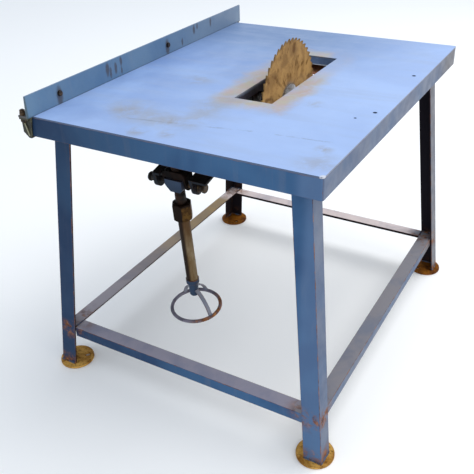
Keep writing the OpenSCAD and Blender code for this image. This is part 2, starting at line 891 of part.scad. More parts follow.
module lift_pipe() {
    shoulder = coupling_top - coupling_len;
    color([0.47, 0.42, 0.34]) at_screw() difference() {
        union() {
            translate([0, 0, pipe_foot]) cylinder(d = pipe_d, h = shoulder - pipe_foot);
            translate([0, 0, shoulder - 1]) cylinder(r = screw_d / 2, h = joint_z - shoulder + 1);
        }
        translate([0, 0, pipe_foot - 1]) cylinder(r = pipe_d / 2 - 4, h = shoulder - pipe_foot - 4);
    }
}

module handwheel_hub() {
    stub_len = pipe_foot - stub_foot;
    color([0.22, 0.27, 0.34]) at_screw() difference() {
        union() {
            translate([0, 0, collar_top - collar_h]) cylinder(r = pipe_d / 2 + 2.5, h = collar_h);
            translate([0, 0, stub_foot]) rotate_extrude()
                polygon([[0, 0], [7, 0], [10.5, 2], [12.5, 6], [14, stub_len], [0, stub_len]]);
        }
        translate([0, 0, pipe_foot]) cylinder(d = pipe_d, h = collar_top - pipe_foot + 1);
    }
}

module handwheel_ring() {
    color([0.25, 0.24, 0.25]) at_screw() translate([0, 0, ring_z])
        rotate_extrude() translate([(wheel_d - wheel_bar) / 2, 0]) circle(wheel_bar / 2, $fn = 32);
}

// Three bent flat bars that rise from the ring to the hub's stub, welded at both ends
module handwheel_spokes() {
    bend = 107;
    bar_w = 11;
    bar_t = 4;
    start = 18.5;    // slope of the arc's radius where it leaves the ring
    hub_r = 13;
    centre_r = (wheel_d - wheel_bar) / 2 - bend * cos(start);
    sweep = acos((hub_r - centre_r) / bend) - start;
    color([0.25, 0.26, 0.29]) at_screw() translate([0, 0, ring_z - bend * sin(start)])
        for (a = spoke_angles) rotate(a) translate([centre_r, 0, 0]) rotate([90, 0, 0]) rotate(start)
            rotate_extrude(angle = sweep) translate([bend, 0]) square([bar_t, bar_w], center = true);
}

module thrust_nut() {
    color(bare_steel) at_screw() translate([0, 0, web_low + web_t + 0.3]) difference() {
        hex(30, 10);
        translate([0, 0, -1]) cylinder(r = journal_r, h = 20);
    }
}

// ---- what is drawn -------------------------------------------------------

table_plate();
apron_front();
apron_right();
apron_back();
apron_left();
slot_rim();
cross_member();
leg_front_left();
leg_front_right();
leg_back_left();
leg_back_right();
stretcher_front();
stretcher_back();
stretcher_left();
stretcher_right();
foot_front_left();
foot_front_right();
foot_back_left();
foot_back_right();
hinge_hangers();
hinge_pin();
thrust_bracket();
fence();
fence_bolts();
fence_hook_front();
fence_hook_back();
fence_clamp_bolts();
swing_arm_left();
swing_arm_right();
swing_cross_bars();
bearing_housing_left();
bearing_housing_right();
arbor_bearings();
housing_bolts();
motor_plate();
motor_plate_bolts();
motor_body();
motor_flange();
motor_fan_cover();
terminal_box();
cable_gland();
v_belt();
arbor_shaft();
arbor_pulley();
blade_flange_inner();
saw_blade();
blade_flange_outer();
arbor_nut();
motor_shaft();
motor_pulley();
trunnion_nut();
saddle_strap();
pivot_bolts();
lift_rod();
coupling_nut();
lift_pipe();
handwheel_hub();
handwheel_ring();
handwheel_spokes();
thrust_nut();
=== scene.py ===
"""The looks of the workshop-made table saw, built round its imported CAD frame. Metres, +Z up."""
import json
import math
import random

import bmesh
import bpy
from mathutils import Matrix, Vector


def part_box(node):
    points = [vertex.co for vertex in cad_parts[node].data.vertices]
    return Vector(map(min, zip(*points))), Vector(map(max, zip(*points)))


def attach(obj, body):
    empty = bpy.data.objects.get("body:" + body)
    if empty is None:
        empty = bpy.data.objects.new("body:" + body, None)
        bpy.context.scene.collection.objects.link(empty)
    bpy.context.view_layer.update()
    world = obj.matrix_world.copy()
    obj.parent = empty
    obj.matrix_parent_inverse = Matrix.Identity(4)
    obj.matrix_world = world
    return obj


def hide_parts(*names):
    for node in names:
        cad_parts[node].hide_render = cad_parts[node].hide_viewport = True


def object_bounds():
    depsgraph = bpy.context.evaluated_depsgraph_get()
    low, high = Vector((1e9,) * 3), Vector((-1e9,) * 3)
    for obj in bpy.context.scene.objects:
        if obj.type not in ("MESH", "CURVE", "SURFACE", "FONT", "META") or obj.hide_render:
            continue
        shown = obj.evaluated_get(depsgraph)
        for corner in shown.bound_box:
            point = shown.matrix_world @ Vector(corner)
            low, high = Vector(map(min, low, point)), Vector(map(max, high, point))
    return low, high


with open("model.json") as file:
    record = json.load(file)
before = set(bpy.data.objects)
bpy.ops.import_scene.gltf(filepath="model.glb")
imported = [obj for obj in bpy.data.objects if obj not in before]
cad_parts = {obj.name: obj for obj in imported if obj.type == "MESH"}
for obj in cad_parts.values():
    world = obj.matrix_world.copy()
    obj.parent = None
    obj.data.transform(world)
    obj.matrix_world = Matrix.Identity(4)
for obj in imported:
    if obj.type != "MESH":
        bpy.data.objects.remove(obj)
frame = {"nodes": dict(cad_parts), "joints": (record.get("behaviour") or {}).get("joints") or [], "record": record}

cad_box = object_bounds()
nodes = frame["nodes"]
body_of_node = {n: b for b, names in frame["record"]["behaviour"]["bodies"].items() for n in names}
slot_of_node = {s["node"]: s["material_slot"] for s in frame["record"]["subparts"]}
joint_of = {j["name"]: j for j in frame["joints"]}
TRUNNION = Vector(joint_of["lift_screw_turn"]["pos_m"])     # where the screw crosses the pivot bolts


def lo(node):
    """The lower corner of a CAD node's box."""
    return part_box(node)[0]


def hi(node):
    """The upper corner of a CAD node's box."""
    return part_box(node)[1]


# ---- camera, light and floor ---------------------------------------------------

EYE = (0.861, -1.6114, 1.3891)
YAW = math.radians(30.81)       # to the left of +Y
PITCH = math.radians(-31.13)
ROLL = math.radians(-2.13)
FOCAL_PER_WIDTH = 1.42827       # focal length over image width
SENSOR_WIDTH = 36
FLOOR_GAP = 0.0004              # keeps the floor's face off the feet's lower faces


def make_camera():
    cam = bpy.data.cameras.new("camera")
    cam.sensor_fit = "HORIZONTAL"
    cam.sensor_width = SENSOR_WIDTH
    cam.lens = SENSOR_WIDTH * FOCAL_PER_WIDTH
    cam.clip_end = 50
    ahead = Vector((-math.sin(YAW), math.cos(YAW), 0)) * math.cos(PITCH)
    ahead.z = math.sin(PITCH)
    level = Vector((math.cos(YAW), math.sin(YAW), 0))
    over = level.cross(ahead)
    right = math.cos(ROLL) * level + math.sin(ROLL) * over
    up = math.cos(ROLL) * over - math.sin(ROLL) * level
    obj = bpy.data.objects.new("camera", cam)
    turn = Matrix((right, up, -ahead)).transposed().to_4x4()
    obj.matrix_world = Matrix.Translation(EYE) @ turn
    bpy.context.collection.objects.link(obj)
    bpy.context.scene.camera = obj


def area_light(name, place, target, size, power, colour):
    light = bpy.data.lights.new(name, "AREA")
    light.shape = "DISK"
    light.size = size
    light.energy = power
    light.color = colour
    obj = bpy.data.objects.new(name, light)
    obj.location = place
    aim = Vector(target) - Vector(place)
    obj.rotation_euler = aim.to_track_quat("-Z", "Y").to_euler()
    bpy.context.collection.objects.link(obj)


def make_lights():
    """A pale sky, a broad key light behind the saw, a warm one on its right and a weak one in front."""
    world = bpy.data.worlds.new("studio")
    world.use_nodes = True
    sky = world.node_tree.nodes["Background"]
    sky.inputs["Color"].default_value = (0.84, 0.91, 1.0, 1)
    sky.inputs["Strength"].default_value = 0.84
    bpy.context.scene.world = world
    area_light("key", place=(1.7, 2.2, 4.6), target=(0, 0, 0.6), size=4.6, power=150,
               colour=(1.0, 0.985, 0.96))
    area_light("side", place=(4.2, -0.6, 1.9), target=(0, 0, 0.5), size=2.0, power=30,
               colour=(1.0, 0.93, 0.84))
    area_light("front_right", place=(1.5, -2.9, 1.1), target=(0.4, -0.4, 0.4), size=1.0, power=10,
               colour=(1.0, 0.97, 0.93))
    view = bpy.context.scene.view_settings
    view.view_transform = "Standard"
    view.look = "None"


def make_floor():
    bm = bmesh.new()
    bmesh.ops.create_grid(bm, x_segments=1, y_segments=1, size=12)
    mesh = bpy.data.meshes.new("floor")
    bm.to_mesh(mesh)
    bm.free()
    floor = bpy.data.objects.new("floor", mesh)
    floor.location.z = cad_box[0][2] - FLOOR_GAP
    bpy.context.collection.objects.link(floor)
    mat = new_material("floor")
    shader = mat.node_tree.nodes["Principled BSDF"]
    shader.inputs["Base Color"].default_value = (0.97, 0.97, 0.965, 1)
    shader.inputs["Roughness"].default_value = 0.9
    floor.data.materials.append(mat)


# ---- building materials from nodes ------------------------------------------------

def srgb(r, g, b):
    """A colour given as 0 to 255 on screen, in the linear light that shaders use."""
    def one(c):
        c /= 255
        return c / 12.92 if c <= 0.04045 else ((c + 0.055) / 1.055) ** 2.4
    return (one(r), one(g), one(b), 1)


def new_material(name):
    mat = bpy.data.materials.new(name)
    mat.use_nodes = True
    return mat


class Graph:
    """Short calls that add shader nodes and join them; a value is a number, a colour or a socket."""

    def __init__(self, name):
        self.mat = new_material(name)
        self.nt = self.mat.node_tree
        self.out = self.nt.nodes["Principled BSDF"]
        coord = self.nt.nodes.new("ShaderNodeTexCoord")
        self.place = coord.outputs["Object"]
        split = self.nt.nodes.new("ShaderNodeSeparateXYZ")
        self.nt.links.new(self.place, split.inputs[0])
        self.x, self.y, self.z = split.outputs
        facing = self.nt.nodes.new("ShaderNodeSeparateXYZ")
        self.nt.links.new(coord.outputs["Normal"], facing.inputs[0])
        self.nx, self.ny, self.nz = facing.outputs
        wear = self.nt.nodes.new("ShaderNodeAttribute")
        wear.attribute_name = "rolled_edge"
        self.edge = wear.outputs["Fac"]

    def put(self, socket, value):
        if isinstance(value, bpy.types.NodeSocket):
            self.nt.links.new(value, socket)
        else:
            socket.default_value = value

    def math(self, kind, a, b=0.0, c=0.0):
        n = self.nt.nodes.new("ShaderNodeMath")
        n.operation = kind
        for socket, value in zip(n.inputs, (a, b, c)):
            self.put(socket, value)
        return n.outputs[0]

    def add(self, a, b):
        return self.math("ADD", a, b)

    def sub(self, a, b):
        return self.math("SUBTRACT", a, b)

    def mul(self, a, b):
        return self.math("MULTIPLY", a, b)

    def most(self, a, b):
        return self.math("MAXIMUM", a, b)

    def least(self, a, b):
        return self.math("MINIMUM", a, b)

    def size(self, a):
        return self.math("ABSOLUTE", a)

    def length(self, a, b):
        """The length of the vector (a, b)."""
        return self.math("SQRT", self.add(self.mul(a, a), self.mul(b, b)))

    def steps(self, value, low, high, to_low=0.0, to_high=1.0):
        """A smooth ramp of value from low to high, clamped."""
        n = self.nt.nodes.new("ShaderNodeMapRange")
        n.interpolation_type = "SMOOTHSTEP"
        self.put(n.inputs["Value"], value)
        for name, v in (("From Min", low), ("From Max", high), ("To Min", to_low), ("To Max", to_high)):
            self.put(n.inputs[name], v)
        return n.outputs[0]

    def noise(self, scale, detail=3.0, rough=0.5, warp=0.0, stretch=(1, 1, 1)):
        move = self.nt.nodes.new("ShaderNodeMapping")
        move.inputs["Scale"].default_value = stretch
        self.nt.links.new(self.place, move.inputs["Vector"])
        n = self.nt.nodes.new("ShaderNodeTexNoise")
        self.nt.links.new(move.outputs[0], n.inputs["Vector"])
        n.inputs["Scale"].default_value = scale
        n.inputs["Detail"].default_value = detail
        n.inputs["Roughness"].default_value = rough
        n.inputs["Distortion"].default_value = warp
        return n.outputs["Fac"]

    def mix(self, fac, a, b):
        n = self.nt.nodes.new("ShaderNodeMix")
        n.data_type = "RGBA"
        self.put(n.inputs["Factor"], fac)
        self.put(n.inputs["A"], a)
        self.put(n.inputs["B"], b)
        return n.outputs["Result"]

    def bump(self, height, distance, strength=1.0):
        n = self.nt.nodes.new("ShaderNodeBump")
        self.put(n.inputs["Height"], height)
        n.inputs["Distance"].default_value = distance
        n.inputs["Strength"].default_value = strength
        self.nt.links.new(n.outputs[0], self.out.inputs["Normal"])

    def near_point(self, x, y, radius, soft):
        """1 close to a vertical line through (x, y), 0 beyond radius."""
        away = self.length(self.sub(self.x, x), self.sub(self.y, y))
        return self.steps(away, radius, radius - soft)

    def near_path(self, points, radius, soft, wobble=0.0):
        """1 close to a line through points, seen from above, 0 beyond radius; wobble makes it uneven."""
        nearest = 10.0
        for (ax, ay), (bx, by) in zip(points, points[1:]):
            ux, uy = bx - ax, by - ay
            length2 = ux * ux + uy * uy
            dx, dy = self.sub(self.x, ax), self.sub(self.y, ay)
            part = self.add(self.mul(dx, ux / length2), self.mul(dy, uy / length2))
            part = self.least(self.most(part, 0.0), 1.0)
            away = self.length(self.sub(dx, self.mul(part, ux)), self.sub(dy, self.mul(part, uy)))
            nearest = self.least(nearest, away)
        shake = self.mul(self.sub(self.noise(14, 5, 0.65, 0.5), 0.5), wobble)
        return self.steps(self.add(nearest, shake), radius, radius - soft)

    def inward(self):
        """1 on faces that look towards the stand's upright middle line, 0 on faces that look out."""
        side_x = self.math("SIGN", self.x)
        side_y = self.math("SIGN", self.y)
        out = self.add(self.mul(self.nx, side_x), self.mul(self.ny, side_y))
        return self.steps(out, -0.25, -0.7)

    def gloss(self, level):
        """Sets the specular level, the same all over, on the shader's own socket."""
        self.out.inputs["Specular IOR Level"].default_value = level

    def finish(self, colour, rough, metal=0.0):
        self.put(self.out.inputs["Base Color"], colour)
        self.put(self.out.inputs["Roughness"], rough)
        self.put(self.out.inputs["Metallic"], metal)
        return self.mat


RUST_DARK = srgb(72, 42, 24)
RUST_MID = srgb(128, 78, 40)
RUST_LIGHT = srgb(176, 118, 62)
DEEP_BLUE = srgb(46, 76, 114)
LIGHT_BLUE = srgb(60, 96, 134)
DUST_MAUVE = srgb(114, 117, 129)
STRETCHER_GREY = srgb(132, 130, 136)
INSIDE_SHADE_BLACK = srgb(22, 15, 17)


def rust_colour(g, scale=60):
    """Rust from dark brown to orange, in patches that get finer as scale grows."""
    blend = g.noise(scale, 6, 0.7)
    first = g.mix(g.steps(blend, 0.35, 0.55), RUST_DARK, RUST_MID)
    return g.mix(g.steps(blend, 0.5, 0.72), first, RUST_LIGHT)


def shelf_dust_and_light(g):
    """Dust on the stretchers' upper faces: mauve in front, tan on the left, and pale at the back as painted light
    against the table's shadow.
    """
    dust = g.mix(g.steps(g.y, -0.40, 0.30), srgb(162, 156, 164), srgb(160, 136, 98))
    dust = g.mix(g.steps(g.x, -0.36, -0.31), dust, srgb(150, 146, 160))
    # painted light: the back stretcher made pale where the table shades it
    dust = g.mix(g.steps(g.y, 0.38, 0.42), dust, srgb(214, 200, 198))
    return g.mix(g.steps(g.x, 0.32, 0.36), dust, STRETCHER_GREY)


def stand_colour(g, colour):
    """Painted shade on the stand's front faces towards the left and painted light on the right leg's front; a grey
    tint on its far right side, partly dust and partly painted sheen; painted shade inside its angles.
    Gives the colour and how far a face looks inwards."""
    facing = g.steps(g.ny, -0.5, -0.9)
    # painted shade: front faces darker towards the left, away from the light
    front_left_shade = g.mul(facing, g.steps(g.x, 0.25, -0.40))
    colour = g.mix(g.mul(front_left_shade, 0.58), colour, srgb(22, 32, 52))
    # painted light: the right leg's front face made lighter
    right_leg_light = g.mul(facing, g.steps(g.x, 0.33, 0.36))
    colour = g.mix(g.mul(right_leg_light, 0.45), colour, srgb(98, 122, 156))
    # grey on the far right side: partly dust, partly painted sheen of the light from the right
    far_side_dust_and_sheen = g.mul(g.steps(g.nx, 0.5, 0.9), g.steps(g.y, 0.30, 0.42))
    colour = g.mix(g.mul(far_side_dust_and_sheen, 0.55), colour, srgb(112, 104, 96))
    # painted shade, nearly black, on the faces inside the stand's angles
    inside = g.inward()
    return g.mix(g.mul(inside, 0.97), colour, INSIDE_SHADE_BLACK), inside


def stand_rust(g, bare):
    """Adds rust low on the legs and at the stretchers' joints, with the drips that run down from them."""
    low = g.steps(g.z, 0.060, 0.012)
    bare = g.most(bare, g.mul(low, g.steps(g.noise(30, 6, 0.7), 0.40, 0.62)))
    corner = g.mul(g.steps(g.size(g.x), 0.30, 0.385), g.steps(g.size(g.y), 0.36, 0.475))
    band = g.mul(g.steps(g.z, 0.085, 0.132), g.steps(g.z, 0.175, 0.145))
    joint = g.mul(g.mul(corner, band), g.steps(g.noise(34, 6, 0.7, 0.4), 0.44, 0.62))
    return g.most(bare, g.mul(joint, 0.9))


def painted(name, deep, light, dust, rust=0.5, stand=False, gloss=0.3):
    """Brushed-on enamel over steel: drifting tint, brush streaks, dust on what faces up, rust spots, a grey tint
    on faces that look right (partly sun-bleaching, partly painted sheen) and painted shade on faces that look
    down.
    The stand's own paint also has painted shade inside its angles, and is rusted low down and chafed at its
    joints."""
    g = Graph(name)
    drift = g.steps(g.noise(5, 3, 0.5, 0.4), 0.35, 0.65)
    colour = g.mix(drift, deep, light)
    streak = g.noise(14, 4, 0.6, 0.2, stretch=(3.2, 3.2, 0.35))
    colour = g.mix(g.mul(g.steps(streak, 0.5, 0.8), 0.22), colour, dust)
    fine = g.noise(240, 3, 0.6)
    colour = g.mix(g.mul(g.steps(fine, 0.5, 0.8), 0.2), colour, deep)
    # grey on faces that look right: partly sun-bleaching, partly painted sheen of the light from the right
    chalk_and_sheen = g.mul(g.steps(g.nx, 0.5, 0.9), g.steps(g.noise(7, 4, 0.6, 0.3), 0.3, 0.7, 0.35, 0.75))
    colour = g.mix(chalk_and_sheen, colour, dust)
    up = g.steps(g.nz, 0.6, 0.95)
    patch = g.steps(g.noise(9, 4, 0.6, 0.5), 0.3, 0.6, 0.7, 1.0)
    spots = g.noise(22, 8, 0.68, 0.3)
    bare = g.steps(spots, 0.76 - 0.16 * rust, 0.83 - 0.16 * rust)
    bare = g.most(bare, g.mul(g.edge, g.steps(g.noise(45, 5, 0.65), 0.40, 0.62, 0.15, 0.85)))
    if stand:
        colour, inside = stand_colour(g, g.mix(g.mul(up, patch), colour, shelf_dust_and_light(g)))
        bare = g.mul(stand_rust(g, bare), g.sub(1.0, g.mul(inside, 0.82)))
    else:
        colour = g.mix(g.mul(up, patch), colour, dust)
        trodden = g.mul(up, g.steps(g.noise(16, 6, 0.65, 0.6), 0.56, 0.66))
        bare = g.most(bare, g.mul(trodden, 0.6 * rust))
    colour = g.mix(bare, colour, rust_colour(g))
    # painted shade: faces that look down darkened to brown-black
    under = g.steps(g.nz, -0.5, -0.85)
    colour = g.mix(g.mul(under, 0.8), colour, srgb(44, 36, 34))
    rough = g.steps(g.noise(30, 4, 0.6), 0.3, 0.7, 0.34, 0.55)
    rough = g.most(rough, g.mul(bare, 0.85))
    if stand:
        rough = g.most(rough, g.mul(inside, 0.97))
    height = g.add(g.mul(g.noise(18, 3, 0.5, stretch=(1, 1, 0.4)), 0.5), g.mul(fine, 0.12))
    g.bump(g.add(height, g.mul(bare, -0.25)), 0.0012, 0.55)
    g.gloss(gloss)
    return g.finish(colour, rough)


def frame_paint():
    return painted("frame_paint", DEEP_BLUE, LIGHT_BLUE, DUST_MAUVE, rust=0.42, stand=True, gloss=0.1)


# dark marks on the fence's face: place along it, height and radius
FENCE_MARKS = [(-0.211, 0.833, 0.010), (-0.199, 0.822, 0.007), (-0.176, 0.828, 0.008),
               (-0.151, 0.842, 0.007), (-0.151, 0.815, 0.006), (0.156, 0.818, 0.006),
               (0.226, 0.841, 0.009), (0.245, 0.846, 0.006), (0.327, 0.839, 0.007)]


def fence_paint():
    """The fence's own coat: a little greener, marked on its face, dark on its end and front flange."""
    g = Graph("fence_paint")
    drift = g.steps(g.noise(6, 4, 0.55, 0.4), 0.3, 0.7)
    colour = g.mix(drift, srgb(78, 110, 142), srgb(96, 124, 150))
    back = g.steps(g.y, -0.1, 0.5)
    colour = g.mix(g.mul(back, 0.45), colour, srgb(122, 132, 148))
    streak = g.noise(16, 4, 0.6, 0.2, stretch=(2, 3.2, 0.3))
    colour = g.mix(g.mul(g.steps(streak, 0.5, 0.8), 0.35), colour, srgb(112, 128, 146))
    fine = g.noise(200, 3, 0.6)
    colour = g.mix(g.mul(g.steps(fine, 0.5, 0.8), 0.2), colour, srgb(70, 92, 120))
    low = lo("fence")
    face_x = hi("fence")[0]
    bolt_z = (lo("fence_bolts")[2] + hi("fence_bolts")[2]) / 2
    on_face = g.steps(g.sub(g.x, face_x - 0.004), 0.0, 0.003)
    marks = 0.0
    below_bolts = [(-0.404, bolt_z - 0.008, 0.014), (0.075, bolt_z - 0.006, 0.013)]
    for y, z, r in FENCE_MARKS + below_bolts:
        away = g.length(g.sub(g.y, y), g.mul(g.sub(g.z, z), 0.4))
        away = g.add(away, g.mul(g.sub(g.noise(70, 4, 0.6), 0.5), 0.008))
        marks = g.most(marks, g.steps(away, r, r * 0.4))
    colour = g.mix(g.mul(g.mul(marks, on_face), 0.8), colour, srgb(66, 62, 66))
    worn = g.mul(g.edge, g.steps(g.noise(45, 5, 0.65), 0.35, 0.6, 0.25, 0.9))
    foot = g.mul(g.steps(g.z, low[2] + 0.004, low[2]), 0.5)
    colour = g.mix(worn, colour, srgb(118, 104, 98))
    colour = g.mix(foot, colour, srgb(58, 66, 82))
    end = g.steps(g.y, low[1] + 0.006, low[1] + 0.002)
    colour = g.mix(g.mul(end, 0.7), colour, srgb(58, 74, 72))
    flange = g.mul(g.steps(g.z, low[2] + 0.012, low[2] + 0.006), g.steps(g.y, -0.30, -0.50))
    flange = g.mul(flange, g.steps(g.sub(g.x, face_x), -0.001, -0.006))
    colour = g.mix(g.mul(flange, 0.85), colour, srgb(76, 70, 66))
    rust = g.steps(g.noise(26, 8, 0.68, 0.3), 0.69, 0.76)
    colour = g.mix(rust, colour, rust_colour(g))
    g.bump(g.add(g.mul(g.noise(18, 3, 0.5), 0.5), g.mul(fine, 0.12)), 0.0012, 0.5)
    g.gloss(0.45)
    return g.finish(colour, g.steps(g.noise(30, 4, 0.6), 0.3, 0.7, 0.36, 0.55))


def worn_paint():
    """The swing frame's paint, darkened nearly to black as painted shade under the table."""
    return painted("worn_paint", srgb(14, 17, 22), srgb(28, 35, 44), srgb(24, 20, 18), rust=0.5,
                   gloss=0.08)


def block_paint():
    """The nut block's and the handwheel hub's blue-grey coat, lighter than the swing frame's."""
    return painted("block_paint", srgb(32, 44, 62), srgb(48, 64, 86), srgb(48, 46, 52), rust=0.4,
                   gloss=0.12)


def strap_soot():
    """The strap over the nut block, black with grease and dust."""
    g = Graph("strap_soot")
    stain = g.noise(40, 5, 0.65, 0.3)
    colour = g.mix(g.steps(stain, 0.4, 0.68), srgb(9, 6, 6), srgb(30, 20, 16))
    g.bump(g.noise(200, 5, 0.7), 0.0006, 0.6)
    g.gloss(0.08)
    return g.finish(colour, g.steps(stain, 0.3, 0.7, 0.6, 0.85))


def spoke_paint():
    return painted("spoke_paint", srgb(66, 72, 90), srgb(104, 110, 126), srgb(130, 130, 138))


def slot_coat():
    """The bars round the slot: sooty where the blade runs, blue at the back, chafed along the top."""
    g = Graph("slot_coat")
    low, high = lo("slot_rim"), hi("slot_rim")
    soot = g.mix(g.steps(g.noise(30, 5, 0.6, 0.3), 0.35, 0.65), srgb(22, 18, 30), srgb(42, 38, 54))
    blue = g.mix(g.steps(g.noise(22, 4, 0.6), 0.35, 0.65), srgb(60, 80, 112), srgb(86, 106, 140))
    back = g.steps(g.ny, -0.5, -0.9)
    colour = g.mix(back, soot, blue)
    lip = g.mul(back, g.steps(g.z, low[2] + 0.0035, low[2] + 0.0015))
    colour = g.mix(lip, colour, srgb(176, 182, 190))
    chafed = g.steps(g.z, high[2] - 0.007, high[2] - 0.001)
    chafed = g.mul(chafed, g.steps(g.noise(26, 5, 0.6), 0.25, 0.5))
    chafed = g.mul(chafed, g.steps(g.y, low[1] + 0.30, low[1] + 0.02))
    colour = g.mix(g.mul(chafed, 0.75), colour, srgb(96, 108, 130))
    g.bump(g.noise(160, 4, 0.65), 0.0006, 0.6)
    return g.finish(colour, g.steps(g.noise(40, 4), 0.3, 0.7, 0.6, 0.85))


def hook_iron():
    """The fence's hooks: dark olive-grey iron, with a painted highlight on faces that look to the front right."""
    g = Graph("hook_iron")
    stain = g.noise(50, 5, 0.65, 0.3)
    colour = g.mix(g.steps(stain, 0.36, 0.64), srgb(30, 30, 22), srgb(72, 72, 54))
    # painted highlight on the faces that look to the front right
    painted_highlight = g.mul(g.steps(g.nx, 0.10, 0.5), g.steps(g.ny, -0.25, -0.5))
    colour = g.mix(g.mul(painted_highlight, 0.85), colour, srgb(156, 154, 128))
    g.bump(g.noise(220, 5, 0.7), 0.0006, 0.6)
    return g.finish(colour, g.steps(stain, 0.3, 0.7, 0.5, 0.75), 0.1)


def motor_paint():
    return painted("motor_paint", srgb(62, 76, 82), srgb(84, 98, 102), srgb(110, 106, 100), rust=0.1)


def cover_paint():
    return painted("cover_paint", srgb(34, 36, 40), srgb(52, 54, 58), srgb(96, 92, 88), rust=0.3)


def wheel_steel():
    """Painted bar, rusted orange on its right side, in spots and along its edges."""
    g = Graph("wheel_steel")
    low, high = lo("handwheel_ring"), hi("handwheel_ring")
    mid_x = (low[0] + high[0]) / 2
    colour = g.mix(g.steps(g.noise(30, 4, 0.6), 0.35, 0.65), srgb(66, 62, 76), srgb(106, 102, 116))
    side = g.steps(g.sub(g.x, mid_x), 0.015, 0.055)
    at_ring = g.steps(g.z, high[2] + 0.006, high[2])
    bare = g.mul(g.mul(side, at_ring), g.steps(g.noise(55, 6, 0.7, 0.4), 0.34, 0.56))
    bare = g.most(bare, g.steps(g.noise(48, 7, 0.7, 0.3), 0.60, 0.68))
    bare = g.most(bare, g.mul(g.edge, 0.5))
    colour = g.mix(bare, colour, rust_colour(g, 90))
    g.bump(g.add(g.noise(140, 4, 0.65), g.mul(bare, -0.3)), 0.0007, 0.6)
    return g.finish(colour, g.steps(bare, 0.0, 1.0, 0.42, 0.85), 0.1)


# worn lines on the top, seen from above, and its spots: place, radius and strength
DRIFT = [(0.014, -0.183), (-0.013, -0.219), (0.008, -0.324), (-0.007, -0.366), (-0.038, -0.381),
         (-0.103, -0.383), (-0.179, -0.374), (-0.199, -0.347)]
CREASE = [(-0.149, -0.411), (0.036, -0.380), (0.149, -0.357), (0.249, -0.347), (0.348, -0.339)]
TOP_SPOTS = [(0.362, -0.445, 0.07, 0.4), (0.219, -0.135, 0.035, 0.55), (-0.079, -0.470, 0.04, 0.6),
             (-0.003, -0.452, 0.035, 0.55), (0.349, -0.378, 0.03, 0.6), (-0.143, -0.095, 0.07, 0.35),
             (-0.179, -0.374, 0.06, 0.6), (-0.038, -0.381, 0.05, 0.6)]
RIM = 0.005                     # thickness of the bars round the slot


